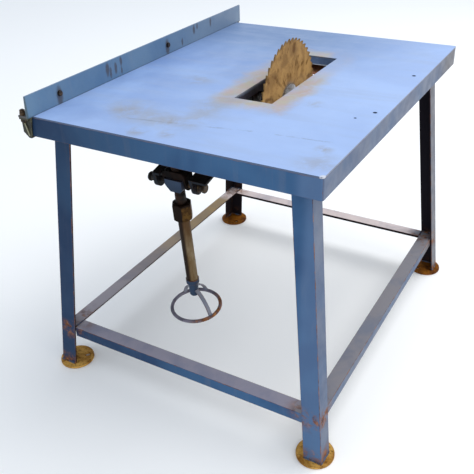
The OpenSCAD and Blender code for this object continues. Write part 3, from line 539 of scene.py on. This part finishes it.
def top_paint():
    """Light blue enamel on the worn top: lighter towards the right, with painted shade on its front edge, tan
    round the slot and where hands rub.
    """
    g = Graph("top_paint")
    slot_lo, slot_hi = lo("slot_rim"), hi("slot_rim")
    cx, cy = (slot_lo[0] + slot_hi[0]) / 2, (slot_lo[1] + slot_hi[1]) / 2
    hx, hy = (slot_hi[0] - slot_lo[0]) / 2 - RIM, (slot_hi[1] - slot_lo[1]) / 2 - RIM
    half_x, half_y = hi("table_plate")[0] - 0.002, hi("table_plate")[1] - 0.002
    drift = g.noise(3.2, 4, 0.55, 0.5)
    colour = g.mix(g.steps(drift, 0.35, 0.65), srgb(120, 148, 198), srgb(144, 172, 218))
    # lighter towards the right
    right = g.steps(g.add(g.x, g.mul(g.y, -0.45)), -0.35, 0.35)
    colour = g.mix(g.mul(right, 0.6), colour, srgb(166, 190, 232))
    far = g.mul(g.steps(g.y, 0.02, 0.42), g.steps(g.x, 0.40, -0.10))
    colour = g.mix(g.mul(far, 0.95), colour, srgb(106, 132, 172))
    wiped = g.noise(7, 5, 0.6, 0.3, stretch=(0.5, 3.0, 1))
    colour = g.mix(g.mul(g.steps(wiped, 0.45, 0.7), 0.35), colour, srgb(146, 164, 196))
    # how far outside the slot's outline a point lies
    dx = g.most(g.sub(g.size(g.sub(g.x, cx)), hx), 0.0)
    dy = g.most(g.sub(g.size(g.sub(g.y, cy)), hy), 0.0)
    away = g.length(dx, dy)
    ragged = g.add(away, g.mul(g.sub(g.noise(11, 5, 0.6, 0.4), 0.5), 0.10))
    ring = g.steps(ragged, 0.080, 0.022)
    ring = g.mul(ring, g.steps(g.noise(16, 6, 0.7, 0.6), 0.34, 0.58, 0.5, 1.0))
    far_right = g.mul(g.steps(g.x, cx, cx + 0.05), g.steps(g.y, -0.02, 0.16))
    ring = g.mul(ring, g.sub(1.0, g.mul(far_right, 0.8)))
    tan = g.mix(g.steps(g.noise(24, 5, 0.65, 0.4), 0.38, 0.62), srgb(176, 156, 146), srgb(172, 164, 142))
    colour = g.mix(g.mul(ring, 0.92), colour, tan)
    # the worn drift of brown from the slot to the front left, and on along the front
    swirl = g.near_path(DRIFT, 0.075, 0.070, 0.09)
    swirl = g.mul(swirl, g.steps(g.noise(12, 5, 0.65, 0.6), 0.30, 0.62))
    colour = g.mix(g.mul(swirl, 0.62), colour, srgb(146, 150, 158))
    crease = g.near_path(CREASE, 0.005, 0.004, 0.012)
    crease = g.mul(crease, g.steps(g.noise(26, 5, 0.7), 0.40, 0.6))
    colour = g.mix(g.mul(crease, 0.5), colour, srgb(118, 128, 146))
    # spots rubbed to grey, and chips
    for x, y, r, amount in TOP_SPOTS:
        spot = g.mul(g.near_point(x, y, r, r), g.steps(g.noise(26, 6, 0.65, 0.4), 0.36, 0.6))
        colour = g.mix(g.mul(spot, amount), colour, srgb(140, 136, 130))
    chips = g.steps(g.noise(70, 7, 0.72, 0.2), 0.70, 0.74)
    chips = g.mul(chips, g.steps(g.noise(4, 3), 0.45, 0.62))
    colour = g.mix(g.mul(chips, 0.8), colour, srgb(92, 82, 78))
    # painted light and shade on the plate's edge, grey on the sides and dark in front; its chipped corner and its
    # unpainted underside
    edge = g.steps(g.nz, 0.75, 0.35)
    rim = g.mix(g.steps(g.ny, -0.3, -0.6), srgb(104, 110, 124), srgb(48, 62, 86))
    colour = g.mix(g.mul(edge, 0.85), colour, rim)
    corner = g.mul(g.near_point(half_x, -half_y, 0.009, 0.003), g.steps(g.noise(60, 3), 0.3, 0.45))
    colour = g.mix(g.mul(corner, 0.8), colour, srgb(206, 208, 214))
    under = g.steps(g.nz, -0.5, -0.8)
    colour = g.mix(under, colour, srgb(88, 80, 78))
    rough = g.steps(g.noise(12, 4, 0.6), 0.3, 0.7, 0.36, 0.56)
    rough = g.most(rough, g.mul(ring, 0.75))
    g.bump(g.add(g.mul(g.noise(9, 3, 0.5), 0.8), g.mul(g.noise(300, 3, 0.6), 0.1)), 0.0012, 0.5)
    g.gloss(0.45)
    return g.finish(colour, rough)


def rusty_steel():
    """Steel that has never been painted, rusted all over to ochre and brown."""
    g = Graph("rusty_steel")
    big = g.noise(18, 5, 0.6, 0.4)
    colour = g.mix(g.steps(big, 0.38, 0.6), srgb(92, 62, 28), srgb(152, 112, 44))
    speck = g.noise(110, 6, 0.7)
    colour = g.mix(g.steps(speck, 0.48, 0.7), colour, srgb(70, 44, 22))
    colour = g.mix(g.mul(g.steps(g.noise(40, 5, 0.7), 0.58, 0.7), 0.7), colour, srgb(190, 140, 62))
    g.bump(g.add(speck, g.mul(big, 0.6)), 0.0010, 0.8)
    return g.finish(colour, g.steps(speck, 0.3, 0.7, 0.62, 0.9))


def member_rust():
    """The bearer behind the slot, coated orange-brown by sawdust and rust; paler on faces that look up, from dust,
    and on faces that look to the front, as painted light.
    """
    g = Graph("member_rust")
    big = g.noise(14, 5, 0.65, 0.5)
    # paler on faces that look up, from dust, and on faces that look to the front, as painted light
    dusty_and_lit = g.most(g.steps(g.ny, -0.2, -0.6), g.steps(g.nz, 0.2, 0.6))
    deep = g.mix(dusty_and_lit, srgb(62, 42, 30), srgb(150, 92, 62))
    pale = g.mix(dusty_and_lit, srgb(98, 68, 46), srgb(214, 146, 106))
    colour = g.mix(g.steps(big, 0.36, 0.62), deep, pale)
    soot = g.steps(g.noise(34, 6, 0.7, 0.4), 0.52, 0.66)
    colour = g.mix(g.mul(soot, 0.7), colour, srgb(58, 46, 44))
    g.bump(g.noise(140, 6, 0.7), 0.0010, 0.8)
    return g.finish(colour, g.steps(big, 0.3, 0.7, 0.7, 0.92))


def foot_rust():
    """Foot plates: ochre rust, paler and dustier on the two in front."""
    g = Graph("foot_rust")
    big = g.noise(26, 5, 0.6, 0.4)
    front = g.steps(g.y, 0.2, -0.2)
    deep = g.mix(front, srgb(82, 40, 3), srgb(144, 96, 34))
    pale = g.mix(front, srgb(134, 80, 10), srgb(204, 158, 80))
    colour = g.mix(g.steps(big, 0.36, 0.6), deep, pale)
    speck = g.noise(120, 6, 0.7)
    colour = g.mix(g.mul(g.steps(speck, 0.48, 0.7), 0.8), colour, srgb(70, 44, 22))
    colour = g.mix(g.mul(g.edge, 0.35), colour, srgb(60, 40, 24))
    g.bump(g.add(speck, g.mul(big, 0.6)), 0.0012, 0.8)
    g.gloss(0.12)
    return g.finish(colour, g.steps(speck, 0.3, 0.7, 0.62, 0.9))


def bolt_bronze():
    """Greasy bolts, bronze-brown with dark patches; the left pivot bolt painted near-black as shade."""
    g = Graph("bolt_bronze")
    stain = g.noise(60, 5, 0.65, 0.3)
    colour = g.mix(g.steps(stain, 0.38, 0.62), srgb(30, 20, 12), srgb(78, 58, 34))
    # painted shade: the left pivot bolt, away from the light, nearly black
    left = g.mul(g.steps(g.x, TRUNNION.x, TRUNNION.x - 0.03), g.steps(g.z, 0.75, 0.72))
    colour = g.mix(g.mul(left, 0.9), colour, srgb(10, 8, 8))
    g.bump(g.noise(240, 5, 0.7), 0.0006, 0.6)
    return g.finish(colour, g.steps(stain, 0.3, 0.7, 0.4, 0.7), 0.35)


def nut_bronze():
    """The coupling nut: bronze-brown on its lower right flats, with painted shade, nearly black, on its left flats
    and its top.
    """
    g = Graph("nut_bronze")
    low, high = lo("coupling_nut")[2], hi("coupling_nut")[2]
    stain = g.noise(70, 5, 0.65, 0.3)
    colour = g.mix(g.steps(stain, 0.38, 0.62), srgb(52, 32, 8), srgb(90, 64, 26))
    # painted shade: nearly black except the lower right flats, which face the light
    worn = g.mul(g.steps(g.z, high - 0.006, high - 0.014), g.steps(g.nx, 0.15, 0.55))
    colour = g.mix(worn, srgb(22, 10, 4), colour)
    g.bump(g.noise(240, 5, 0.7), 0.0006, 0.6)
    g.gloss(0.08)
    return g.finish(colour, g.steps(stain, 0.3, 0.7, 0.4, 0.6), 0.05)


def blade_steel():
    """Rust-yellowed tool steel, wiped outwards in streaks from the arbor."""
    g = Graph("blade_steel")
    low, high = lo("arbor_shaft"), hi("arbor_shaft")
    dy = g.sub(g.y, (low[1] + high[1]) / 2)
    dz = g.sub(g.z, (low[2] + high[2]) / 2)
    away = g.length(dy, dz)
    polar = g.nt.nodes.new("ShaderNodeCombineXYZ")
    g.put(polar.inputs[0], g.mul(g.math("ARCTAN2", dz, dy), 2.4))
    g.put(polar.inputs[1], g.mul(away, 9.0))
    ray = g.nt.nodes.new("ShaderNodeTexNoise")
    g.nt.links.new(polar.outputs[0], ray.inputs["Vector"])
    ray.inputs["Scale"].default_value = 2.6
    ray.inputs["Detail"].default_value = 5
    blotch = g.noise(24, 6, 0.62, 0.5)
    colour = g.mix(g.steps(blotch, 0.35, 0.65), srgb(134, 100, 56), srgb(172, 134, 82))
    streak = g.steps(ray.outputs["Fac"], 0.53, 0.66)
    colour = g.mix(g.mul(streak, 0.8), colour, srgb(96, 62, 24))
    colour = g.mix(g.mul(g.steps(g.noise(60, 6, 0.7), 0.56, 0.7), 0.5), colour, srgb(112, 70, 26))
    rim = g.steps(away, 0.156, 0.166)
    colour = g.mix(g.mul(rim, 0.6), colour, srgb(90, 76, 52))
    hub = g.steps(away, 0.055, 0.045)
    colour = g.mix(g.mul(hub, 0.6), colour, srgb(120, 110, 100))
    rings = g.math("SINE", g.mul(away, 9000.0))         # grinding marks, 0.7 mm apart
    g.bump(g.add(g.mul(rings, 0.06), g.noise(160, 5, 0.7)), 0.0005, 0.5)
    rough = g.steps(blotch, 0.3, 0.7, 0.5, 0.75)
    g.gloss(0.1)
    return g.finish(colour, rough, 0.05)


def bare_steel():
    """Turned steel, bright with brownish stains and fine marks round its axis."""
    g = Graph("bare_steel")
    stain = g.noise(30, 6, 0.65, 0.3)
    colour = g.mix(g.steps(stain, 0.42, 0.68), srgb(168, 168, 172), srgb(112, 98, 82))
    turned = g.noise(900, 2, 0.5, stretch=(1, 0.05, 0.05))
    g.bump(turned, 0.0003, 0.4)
    return g.finish(colour, g.steps(stain, 0.4, 0.7, 0.3, 0.65), 0.85)


def dark_iron():
    """Greasy iron, nearly black with brown patches."""
    g = Graph("dark_iron")
    stain = g.noise(34, 6, 0.65, 0.3)
    colour = g.mix(g.steps(stain, 0.4, 0.66), srgb(14, 8, 6), srgb(50, 27, 13))
    colour = g.mix(g.mul(g.steps(g.noise(90, 5, 0.7), 0.58, 0.7), 0.6), colour, srgb(84, 48, 22))
    g.bump(g.noise(220, 5, 0.7), 0.0006, 0.6)
    g.gloss(0.15)
    return g.finish(colour, g.steps(stain, 0.4, 0.7, 0.5, 0.75))


def pipe_steel():
    """The lift pipe: dull galvanised steel, brown near the nut, with painted shade, nearly black, on the side that
    looks left and to the front.
    """
    g = Graph("pipe_steel")
    stain = g.noise(26, 6, 0.62, 0.4, stretch=(1, 1, 0.35))
    colour = g.mix(g.steps(stain, 0.36, 0.64), srgb(132, 116, 90), srgb(96, 74, 44))
    colour = g.mix(g.mul(g.steps(g.noise(90, 6, 0.7), 0.6, 0.7), 0.7), colour, srgb(70, 44, 22))
    top = hi("lift_pipe")[2]
    upper = g.steps(g.z, top - 0.15, top - 0.03)
    colour = g.mix(g.mul(upper, 0.7), colour, srgb(72, 46, 24))
    # painted shade: nearly black on the side that looks left and to the front
    side = g.add(g.mul(g.nx, 0.8), g.mul(g.ny, 0.6))
    colour = g.mix(g.mul(g.steps(side, -0.05, -0.55), 0.95), colour, srgb(26, 12, 5))
    g.bump(g.noise(260, 4, 0.65, stretch=(1, 1, 0.3)), 0.0005, 0.5)
    g.gloss(0.12)
    return g.finish(colour, g.steps(stain, 0.3, 0.7, 0.4, 0.62), 0.05)


def black_plastic():
    """Moulded plastic with a fine grain."""
    g = Graph("black_plastic")
    colour = g.mix(g.steps(g.noise(60, 4), 0.4, 0.7), srgb(28, 28, 29), srgb(48, 47, 46))
    g.bump(g.noise(900, 2, 0.5), 0.0002, 0.4)
    return g.finish(colour, g.steps(g.noise(60, 4), 0.3, 0.7, 0.42, 0.6))


THREADS = 5200.0                # the belt's weave repeats every 1.2 mm


def belt_rubber():
    """Dusty rubber with a fine cloth weave."""
    g = Graph("belt_rubber")
    colour = g.mix(g.steps(g.noise(80, 5, 0.6), 0.4, 0.7), srgb(26, 25, 25), srgb(60, 55, 50))
    along = g.math("SINE", g.mul(g.add(g.y, g.z), THREADS))
    weave = g.mul(along, g.math("SINE", g.mul(g.x, THREADS)))
    g.bump(weave, 0.0003, 0.5)
    return g.finish(colour, g.steps(g.noise(80, 5), 0.3, 0.7, 0.6, 0.8))


def weld_metal():
    """Weld beads, painted over long ago and rusting through."""
    g = Graph("weld_metal")
    colour = g.mix(g.steps(g.noise(60, 5, 0.65), 0.42, 0.6), srgb(70, 86, 110), srgb(96, 62, 36))
    colour = g.mix(g.steps(g.noise(150, 5, 0.7), 0.55, 0.7), colour, srgb(52, 34, 24))
    g.bump(g.noise(300, 4, 0.7), 0.0006, 0.7)
    return g.finish(colour, g.steps(g.noise(60, 5, 0.65), 0.4, 0.6, 0.5, 0.8), 0.15)


MAKERS = (
    top_paint, frame_paint, worn_paint, rusty_steel, bare_steel, dark_iron, blade_steel, pipe_steel,
    wheel_steel, motor_paint, cover_paint, black_plastic, belt_rubber, fence_paint, weld_metal,
    foot_rust, bolt_bronze, nut_bronze, block_paint, spoke_paint, slot_coat, hook_iron, strap_soot,
    member_rust,
)
materials = {make.__name__: make() for make in MAKERS}


def dress_cad_nodes():
    """Gives every CAD node the material of its slot; the pieces that stand for nodes come later."""
    for name, obj in nodes.items():
        obj.data.materials.clear()
        obj.data.materials.append(materials[slot_of_node[name]])


# ---- building meshes ------------------------------------------------------------

def add_piece(name, bm, slot, body, replaced=(), material=None, smooth=False):
    """Makes bm into an object that takes a finish, rides on a body and may stand for CAD nodes."""
    mesh = bpy.data.meshes.new(name)
    bm.to_mesh(mesh)
    bm.free()
    obj = bpy.data.objects.new(name, mesh)
    bpy.context.collection.objects.link(obj)
    mesh.materials.append(materials[material or slot])
    for face in mesh.polygons:
        face.use_smooth = True
    if not smooth:
        even = obj.modifiers.new("even_normals", "WEIGHTED_NORMAL")
        even.keep_sharp = True
    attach(obj, body)
    if replaced:
        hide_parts(*replaced)
    return obj


def clean_copy(node):
    """The node's mesh in a bmesh, with its flat faces whole again."""
    bm = bmesh.new()
    bm.from_mesh(nodes[node].data)
    bmesh.ops.remove_doubles(bm, verts=bm.verts, dist=1e-6)
    bmesh.ops.dissolve_limit(bm, angle_limit=math.radians(0.6), verts=bm.verts, edges=bm.edges)
    return bm


def roll_edges(bm, width, segments=2):
    """Bevels every sharp edge and marks the new faces, where paint wears through."""
    mark = bm.loops.layers.float.new("rolled_edge")
    sharp = [e for e in bm.edges if e.is_manifold and e.calc_face_angle(0) > math.radians(32)]
    made = bmesh.ops.bevel(bm, geom=sharp, offset=width, segments=segments, profile=0.6,
                           affect="EDGES", clamp_overlap=True)
    for face in made["faces"]:
        for loop in face.loops:
            loop[mark] = 1.0


def soften(node, width, material=None):
    """Puts a copy with rolled edges in a CAD node's place."""
    bm = clean_copy(node)
    roll_edges(bm, width)
    add_piece(node + ".rolled", bm, slot_of_node[node], body_of_node[node], (node,), material)


def sweep(bm, points, radii, sides=8):
    """A closed tube along points, with its own radius at each of them."""
    rings = []
    side = None
    for i, point in enumerate(points):
        ahead = (points[min(i + 1, len(points) - 1)] - points[max(i - 1, 0)]).normalized()
        if side is None:
            side = ahead.orthogonal().normalized()
        side = (side - ahead * side.dot(ahead)).normalized()
        over = ahead.cross(side)
        ring = []
        for k in range(sides):
            turn = 2 * math.pi * k / sides
            ring.append(bm.verts.new(point + radii[i] * (math.cos(turn) * side + math.sin(turn) * over)))
        rings.append(ring)
    join_rings(bm, rings)


RIPPLE = 0.0016                 # from one ripple of a weld bead to the next
UNEVEN = 0.0003                 # how far a bead wanders


def bead(bm, corners, radius, rng):
    """A weld bead along a line of corners: overlapping ripples, a little uneven."""
    points = []
    for a, b in zip(corners, corners[1:]):
        a, b = Vector(a), Vector(b)
        count = max(2, int((b - a).length / RIPPLE))
        points += [a.lerp(b, i / count) for i in range(count + (b == Vector(corners[-1])))]
    radii = []
    for i, point in enumerate(points):
        swell = 1 + 0.16 * math.sin(i * 1.9) + rng.uniform(-0.10, 0.10)
        taper = min(1.0, 0.45 + 0.2 * i, 0.45 + 0.2 * (len(points) - 1 - i))
        radii.append(radius * swell * taper)
        points[i] = point + Vector([rng.uniform(-UNEVEN, UNEVEN) for _ in range(3)])
    sweep(bm, points, radii)


def turned(bm, place, outline, sides=48):
    """A closed turned solid round place's Z axis, from (radius, height) points, bottom to top."""
    rings = []
    for radius, height in outline:
        turns = [2 * math.pi * k / sides for k in range(sides)]
        rings.append([bm.verts.new(place @ polar_point(radius, turn, height)) for turn in turns])
    join_rings(bm, rings)


def polar_point(radius, turn, height):
    return Vector((radius * math.cos(turn), radius * math.sin(turn), height))


def join_rings(bm, rings):
    """Skins a closed solid over a row of rings of vertices."""
    sides = len(rings[0])
    for a, b in zip(rings, rings[1:]):
        for k in range(sides):
            bm.faces.new((a[k], a[(k + 1) % sides], b[(k + 1) % sides], b[k]))
    bm.faces.new(rings[0][::-1])
    bm.faces.new(rings[-1])


def hexagon(bm, place, across, height, both=False):
    """A hexagon head or nut on place's Z axis, its corners chamfered at the top, or at both ends."""
    sides = 72
    corner = math.radians(30)       # also the chamfer's slope
    flat = across / 2
    face_r = flat * 0.97

    def corner_r(k):
        off = (360 * k / sides + 30) % 60 - 30
        return flat / math.cos(math.radians(off))

    def ring(radius_of, height_of):
        out = []
        for k in range(sides):
            turn = 2 * math.pi * k / sides + corner
            out.append(bm.verts.new(place @ polar_point(radius_of(k), turn, height_of(k))))
        return out

    drop = math.tan(corner)
    rings = []
    if both:
        rings.append(ring(lambda k: face_r, lambda k: 0.0))
        rings.append(ring(corner_r, lambda k: (corner_r(k) - face_r) * drop))
    else:
        rings.append(ring(corner_r, lambda k: 0.0))
    rings.append(ring(corner_r, lambda k: height - (corner_r(k) - face_r) * drop))
    rings.append(ring(lambda k: face_r, lambda k: height))
    rings.append(ring(lambda k: face_r * 0.9, lambda k: height))
    join_rings(bm, rings)


def thread(bm, place, radius, depth, pitch, low, high, per_pitch=8, sides=40):
    """A threaded rod from low to high along place's Z axis, closed at both ends."""
    rings = []
    count = int((high - low) / pitch * per_pitch)
    for i in range(count + 1):
        height = low + (high - low) * i / count
        ring = []
        for k in range(sides):
            part = (height / pitch - k / sides) % 1.0
            ridge = min(max(4 * abs(part - 0.5) - 0.5, 0.0), 1.0)
            r = radius - depth * (1 - ridge)
            turn = 2 * math.pi * k / sides
            ring.append(bm.verts.new(place @ polar_point(r, turn, height)))
        rings.append(ring)
    join_rings(bm, rings)


def axis_frame(origin, axis, side=(1, 0, 0)):
    """A matrix whose Z axis runs along axis from origin."""
    z = Vector(axis).normalized()
    x = Vector(side)
    if abs(x.dot(z)) > 0.9:
        x = Vector((0, 1, 0))
    x = (x - z * x.dot(z)).normalized()
    turn = Matrix((x, z.cross(x), z)).transposed().to_4x4()
    return Matrix.Translation(Vector(origin)) @ turn


SCREW = axis_frame(TRUNNION, joint_of["lift_screw_turn"]["axis"])


# ---- top and stand ------------------------------------------------------------------

def make_table_plate():
    """The top sheet, dished a little, unevenly, between its supports and the slot."""
    bm = clean_copy("table_plate")
    low, high = lo("table_plate"), hi("table_plate")
    cell = 0.03
    dip = 0.0009
    apron, reach = 0.06, 0.08       # the flat rim over the aprons, and how far the sheet then takes to give
    for axis in (0, 1):
        normal = Vector((axis == 0, axis == 1, 0))
        for i in range(1, int((high[axis] - low[axis]) / cell) + 1):
            point = Vector((0, 0, 0))
            point[axis] = low[axis] + cell * i
            whole = bm.verts[:] + bm.edges[:] + bm.faces[:]
            bmesh.ops.bisect_plane(bm, geom=whole, plane_co=point, plane_no=normal)
    roll_edges(bm, 0.0012)
    slot_low, slot_high = lo("slot_rim"), hi("slot_rim")
    for v in bm.verts:
        x, y = v.co.x, v.co.y
        inside = min(x - low[0], high[0] - x, y - low[1], high[1] - y)
        to_slot = max(slot_low[0] - x, x - slot_high[0], slot_low[1] - y, y - slot_high[1], 0)
        give = min(max(inside - apron, 0) / reach, 1) * min(to_slot / reach, 1)
        wave = math.sin(x * 13 + 1.1 * math.sin(y * 7)) * math.sin(y * 11 + 0.8)
        dish = 0.5 + 0.5 * wave
        v.co.z -= dip * give * dish
    add_piece("table_sheet", bm, "top_paint", "stand", ("table_plate",))


CORNERS = ("front_left", "front_right", "back_left", "back_right")
LEG_WIDTH, LEG_THICKNESS = 0.050, 0.005
HANGER_THICKNESS = 0.010


def make_stand_welds():
    """Beads at the legs' feet, the stretchers' ends and the hinge's hangers."""
    bm = bmesh.new()
    rng = random.Random(7)
    for name in CORNERS:
        low, high = lo("leg_" + name), hi("leg_" + name)
        sx = -1 if name.endswith("left") else 1
        sy = -1 if name.startswith("front") else 1
        outer_x = low[0] if sx < 0 else high[0]
        outer_y = low[1] if sy < 0 else high[1]
        z = low[2] + 0.001
        end_x, end_y = outer_x - sx * LEG_WIDTH, outer_y - sy * LEG_WIDTH
        inner_x, inner_y = outer_x - sx * LEG_THICKNESS, outer_y - sy * LEG_THICKNESS
        bead(bm, [(end_x, outer_y, z), (outer_x, outer_y, z), (outer_x, end_y, z)], 0.0028, rng)
        bead(bm, [(end_x, inner_y, z), (inner_x, inner_y, z), (inner_x, end_y, z)], 0.0028, rng)
    for name in ("left", "right"):
        low, high = lo("stretcher_" + name), hi("stretcher_" + name)
        out_x = low[0] if name == "left" else high[0]
        in_x = high[0] if name == "left" else low[0]
        for y in (low[1] + 0.001, high[1] - 0.001):
            inward = 1 if y < 0 else -1
            bead(bm, [(in_x, y, high[2]), (out_x, y, high[2])], 0.0026, rng)
            bead(bm, [(out_x, y, high[2]), (out_x, y + inward * 0.046, high[2])], 0.0022, rng)
            bead(bm, [(out_x, y, high[2]), (out_x, y, low[2])], 0.0024, rng)
    for name in ("front", "back"):
        low, high = lo("stretcher_" + name), hi("stretcher_" + name)
        for x in (low[0], high[0]):
            bead(bm, [(x, low[1] + 0.002, high[2]), (x, high[1] - 0.002, high[2])], 0.0026, rng)
    low, high = lo("hinge_hangers"), hi("hinge_hangers")
    top = high[2] - 0.001
    for x in (low[0], low[0] + HANGER_THICKNESS, high[0] - HANGER_THICKNESS, high[0]):
        bead(bm, [(x, low[1] + 0.004, top), (x, high[1] - 0.004, top)], 0.0028, rng)
    add_piece("stand_welds", bm, "frame_paint", "stand", (), "weld_metal", smooth=True)


# how far the edges of each steel part are rolled
ROLLED = {
    "apron_front": 0.0014, "apron_right": 0.0014, "apron_back": 0.0014, "apron_left": 0.0014,
    "slot_rim": 0.0006, **{"leg_" + corner: 0.0014 for corner in CORNERS},
    "stretcher_front": 0.0012, "stretcher_back": 0.0012, "stretcher_left": 0.0012,
    "stretcher_right": 0.0012, **{"foot_" + corner: 0.0015 for corner in CORNERS},
    "hinge_hangers": 0.001, "thrust_bracket": 0.001, "cross_member": 0.001,
    "swing_arm_left": 0.001, "swing_arm_right": 0.001, "bearing_housing_left": 0.0015,
    "bearing_housing_right": 0.0015, "motor_plate": 0.001, "motor_flange": 0.0012,
    "terminal_box": 0.002, "trunnion_nut": 0.0015, "saddle_strap": 0.0012, "coupling_nut": 0.0008,
    "handwheel_spokes": 0.0007, "handwheel_hub": 0.001, "arbor_pulley": 0.0008, "motor_pulley": 0.0008,
    "fence_hook_front": 0.0008, "fence_hook_back": 0.0008, "fence": 0.0012,
}
# the parts that do not wear the material of their slot
OWN_COAT = {
    "fence": "fence_paint", "fence_hook_front": "hook_iron", "fence_hook_back": "hook_iron",
    **{"foot_" + corner: "foot_rust" for corner in CORNERS}, "coupling_nut": "nut_bronze",
    "trunnion_nut": "block_paint", "handwheel_hub": "block_paint", "handwheel_spokes": "spoke_paint",
    "slot_rim": "slot_coat", "saddle_strap": "strap_soot", "cross_member": "member_rust",
}


def roll_steel():
    for node, width in ROLLED.items():
        soften(node, width, OWN_COAT.get(node))


# ---- bolts and the lift screw -------------------------------------------------------

# the fence's M8 bolts
ACROSS = 0.013                  # over the flats of a head or nut
NUT = 0.0065
THREAD_R, THREAD_DEPTH, THREAD_PITCH = 0.0040, 0.0006, 0.00125
FENCE_WALL = 0.005


def make_fence_bolts():
    """Hexagon bolts through the fence's face, with washers, nuts and threaded ends behind."""
    low, high = lo("fence_bolts"), hi("fence_bolts")
    face = hi("fence")[0]
    corner = 0.0075
    mid_z = (low[2] + high[2]) / 2
    bm = bmesh.new()
    for y in (low[1] + corner, high[1] - corner):
        out = axis_frame((face, y, mid_z), (1, 0, 0))
        turned(bm, out, [(0.0074, 0.0), (0.0074, 0.0010), (0.0068, 0.0012)])
        hexagon(bm, out @ Matrix.Translation((0, 0, 0.0010)), ACROSS, 0.0043)
        back = axis_frame((face - FENCE_WALL, y, mid_z), (-1, 0, 0))
        hexagon(bm, back, ACROSS, NUT, both=True)
        thread(bm, back, THREAD_R, THREAD_DEPTH, THREAD_PITCH, -0.004, face - FENCE_WALL - low[0])
    add_piece("fence_bolts.cut", bm, "rusty_steel", "rip_fence", ("fence_bolts",), "bolt_bronze")


def make_clamp_bolts():
    """The studs that hold the hooks: a washer, a nut and a turned locknut above, a nut below."""
    low, high = lo("fence_clamp_bolts"), hi("fence_clamp_bolts")
    mid_x = (low[0] + high[0]) / 2
    flange_top = lo("fence")[2] + FENCE_WALL
    from_end = 0.007
    bm = bmesh.new()
    for y in (lo("fence")[1] + from_end, hi("fence")[1] - from_end):
        up = axis_frame((mid_x, y, flange_top), (0, 0, 1))
        turned(bm, up, [(0.0070, 0.0), (0.0070, 0.0012), (0.0064, 0.0015)])
        hexagon(bm, up @ Matrix.Translation((0, 0, 0.0015)), ACROSS, NUT, both=True)
        locknut = Matrix.Translation((0, 0, 0.0081)) @ Matrix.Rotation(math.radians(20), 4, "Z")
        hexagon(bm, up @ locknut, ACROSS, 0.0050, both=True)
        thread(bm, up, THREAD_R, THREAD_DEPTH, THREAD_PITCH, low[2] - flange_top, high[2] - flange_top)
        down = axis_frame((mid_x, y, flange_top - 0.0103), (0, 0, -1))
        hexagon(bm, down, ACROSS, NUT, both=True)
    add_piece("clamp_bolts.cut", bm, "rusty_steel", "rip_fence", ("fence_clamp_bolts",), "bolt_bronze")


def make_pivot_bolts():
    """The trunnion's two pivot bolts: shank, washer, collar and chamfered head."""
    low, high = lo("pivot_bolts"), hi("pivot_bolts")
    washer = 0.0618
    collar = washer + 0.0025
    head_height = 0.008
    bm = bmesh.new()
    for way, reach in ((-1, TRUNNION.x - low[0]), (1, high[0] - TRUNNION.x)):
        place = axis_frame(TRUNNION, (way, 0, 0))
        head = reach - head_height
        turned(bm, place, [(0.0068, 0.023), (0.0070, 0.0235), (0.0070, head), (0.0060, head + 0.001)])
        turned(bm, place, [(0.0120, washer), (0.0129, washer + 0.0006), (0.0129, collar - 0.0006),
                           (0.0120, collar)])
        turned(bm, place, [(0.0096, collar), (0.0100, collar + 0.0005), (0.0100, head - 0.0004),
                           (0.0096, head)])
        hexagon(bm, place @ Matrix.Translation((0, 0, head)), 0.021, head_height)
    add_piece("pivot_bolts.turned", bm, "rusty_steel", "trunnion", ("pivot_bolts",), "bolt_bronze")


def make_lift_rod():
    """The screw: plain where the coupling nut grips it, threaded above, with a turned journal on top."""
    low, high, top = -0.082, 0.1037, 0.130       # along the screw, from the pivot bolts' axis
    plain = -0.034
    shoulder = 0.116
    rod, journal = 0.0140, 0.010
    bm = bmesh.new()
    turned(bm, SCREW, [(rod - 0.0002, low), (rod, low + 0.0005), (rod, plain), (0.0124, plain + 0.003)])
    thread(bm, SCREW, rod, 0.0017, 0.006, plain + 0.001, high)
    turned(bm, SCREW, [(journal, high - 0.002), (journal, shoulder)])
    thread(bm, SCREW, journal, 0.0008, 0.0015, shoulder - 0.0005, top)
    add_piece("lift_rod.threaded", bm, "dark_iron", "lift_screw", ("lift_rod",))


def make_wheel_welds():
    """Beads where the handwheel's three spokes meet its ring and its hub."""
    bm = bmesh.new()
    rng = random.Random(11)
    spoke_turns = (-21, 97, 150)
    ring_z, ring_r = -0.402, 0.068
    hub_z, hub_r = -0.342, 0.0135
    half = 0.0062
    for turn in spoke_turns:
        a = math.radians(turn)
        out = Vector((math.cos(a), math.sin(a), 0))
        side = Vector((-math.sin(a), math.cos(a), 0))
        for radius, height, thick in ((ring_r, ring_z + 0.0052, 0.0022), (hub_r, hub_z, 0.0024)):
            spot = out * radius + Vector((0, 0, height))
            bead(bm, [SCREW @ (spot - side * half), SCREW @ (spot + side * half)], thick, rng)
    add_piece("wheel_welds", bm, "wheel_steel", "lift_screw", (), "weld_metal", smooth=True)


make_camera()
make_lights()
make_floor()
dress_cad_nodes()
make_table_plate()
roll_steel()
make_stand_welds()
make_fence_bolts()
make_clamp_bolts()
make_pivot_bolts()
make_lift_rod()
make_wheel_welds()
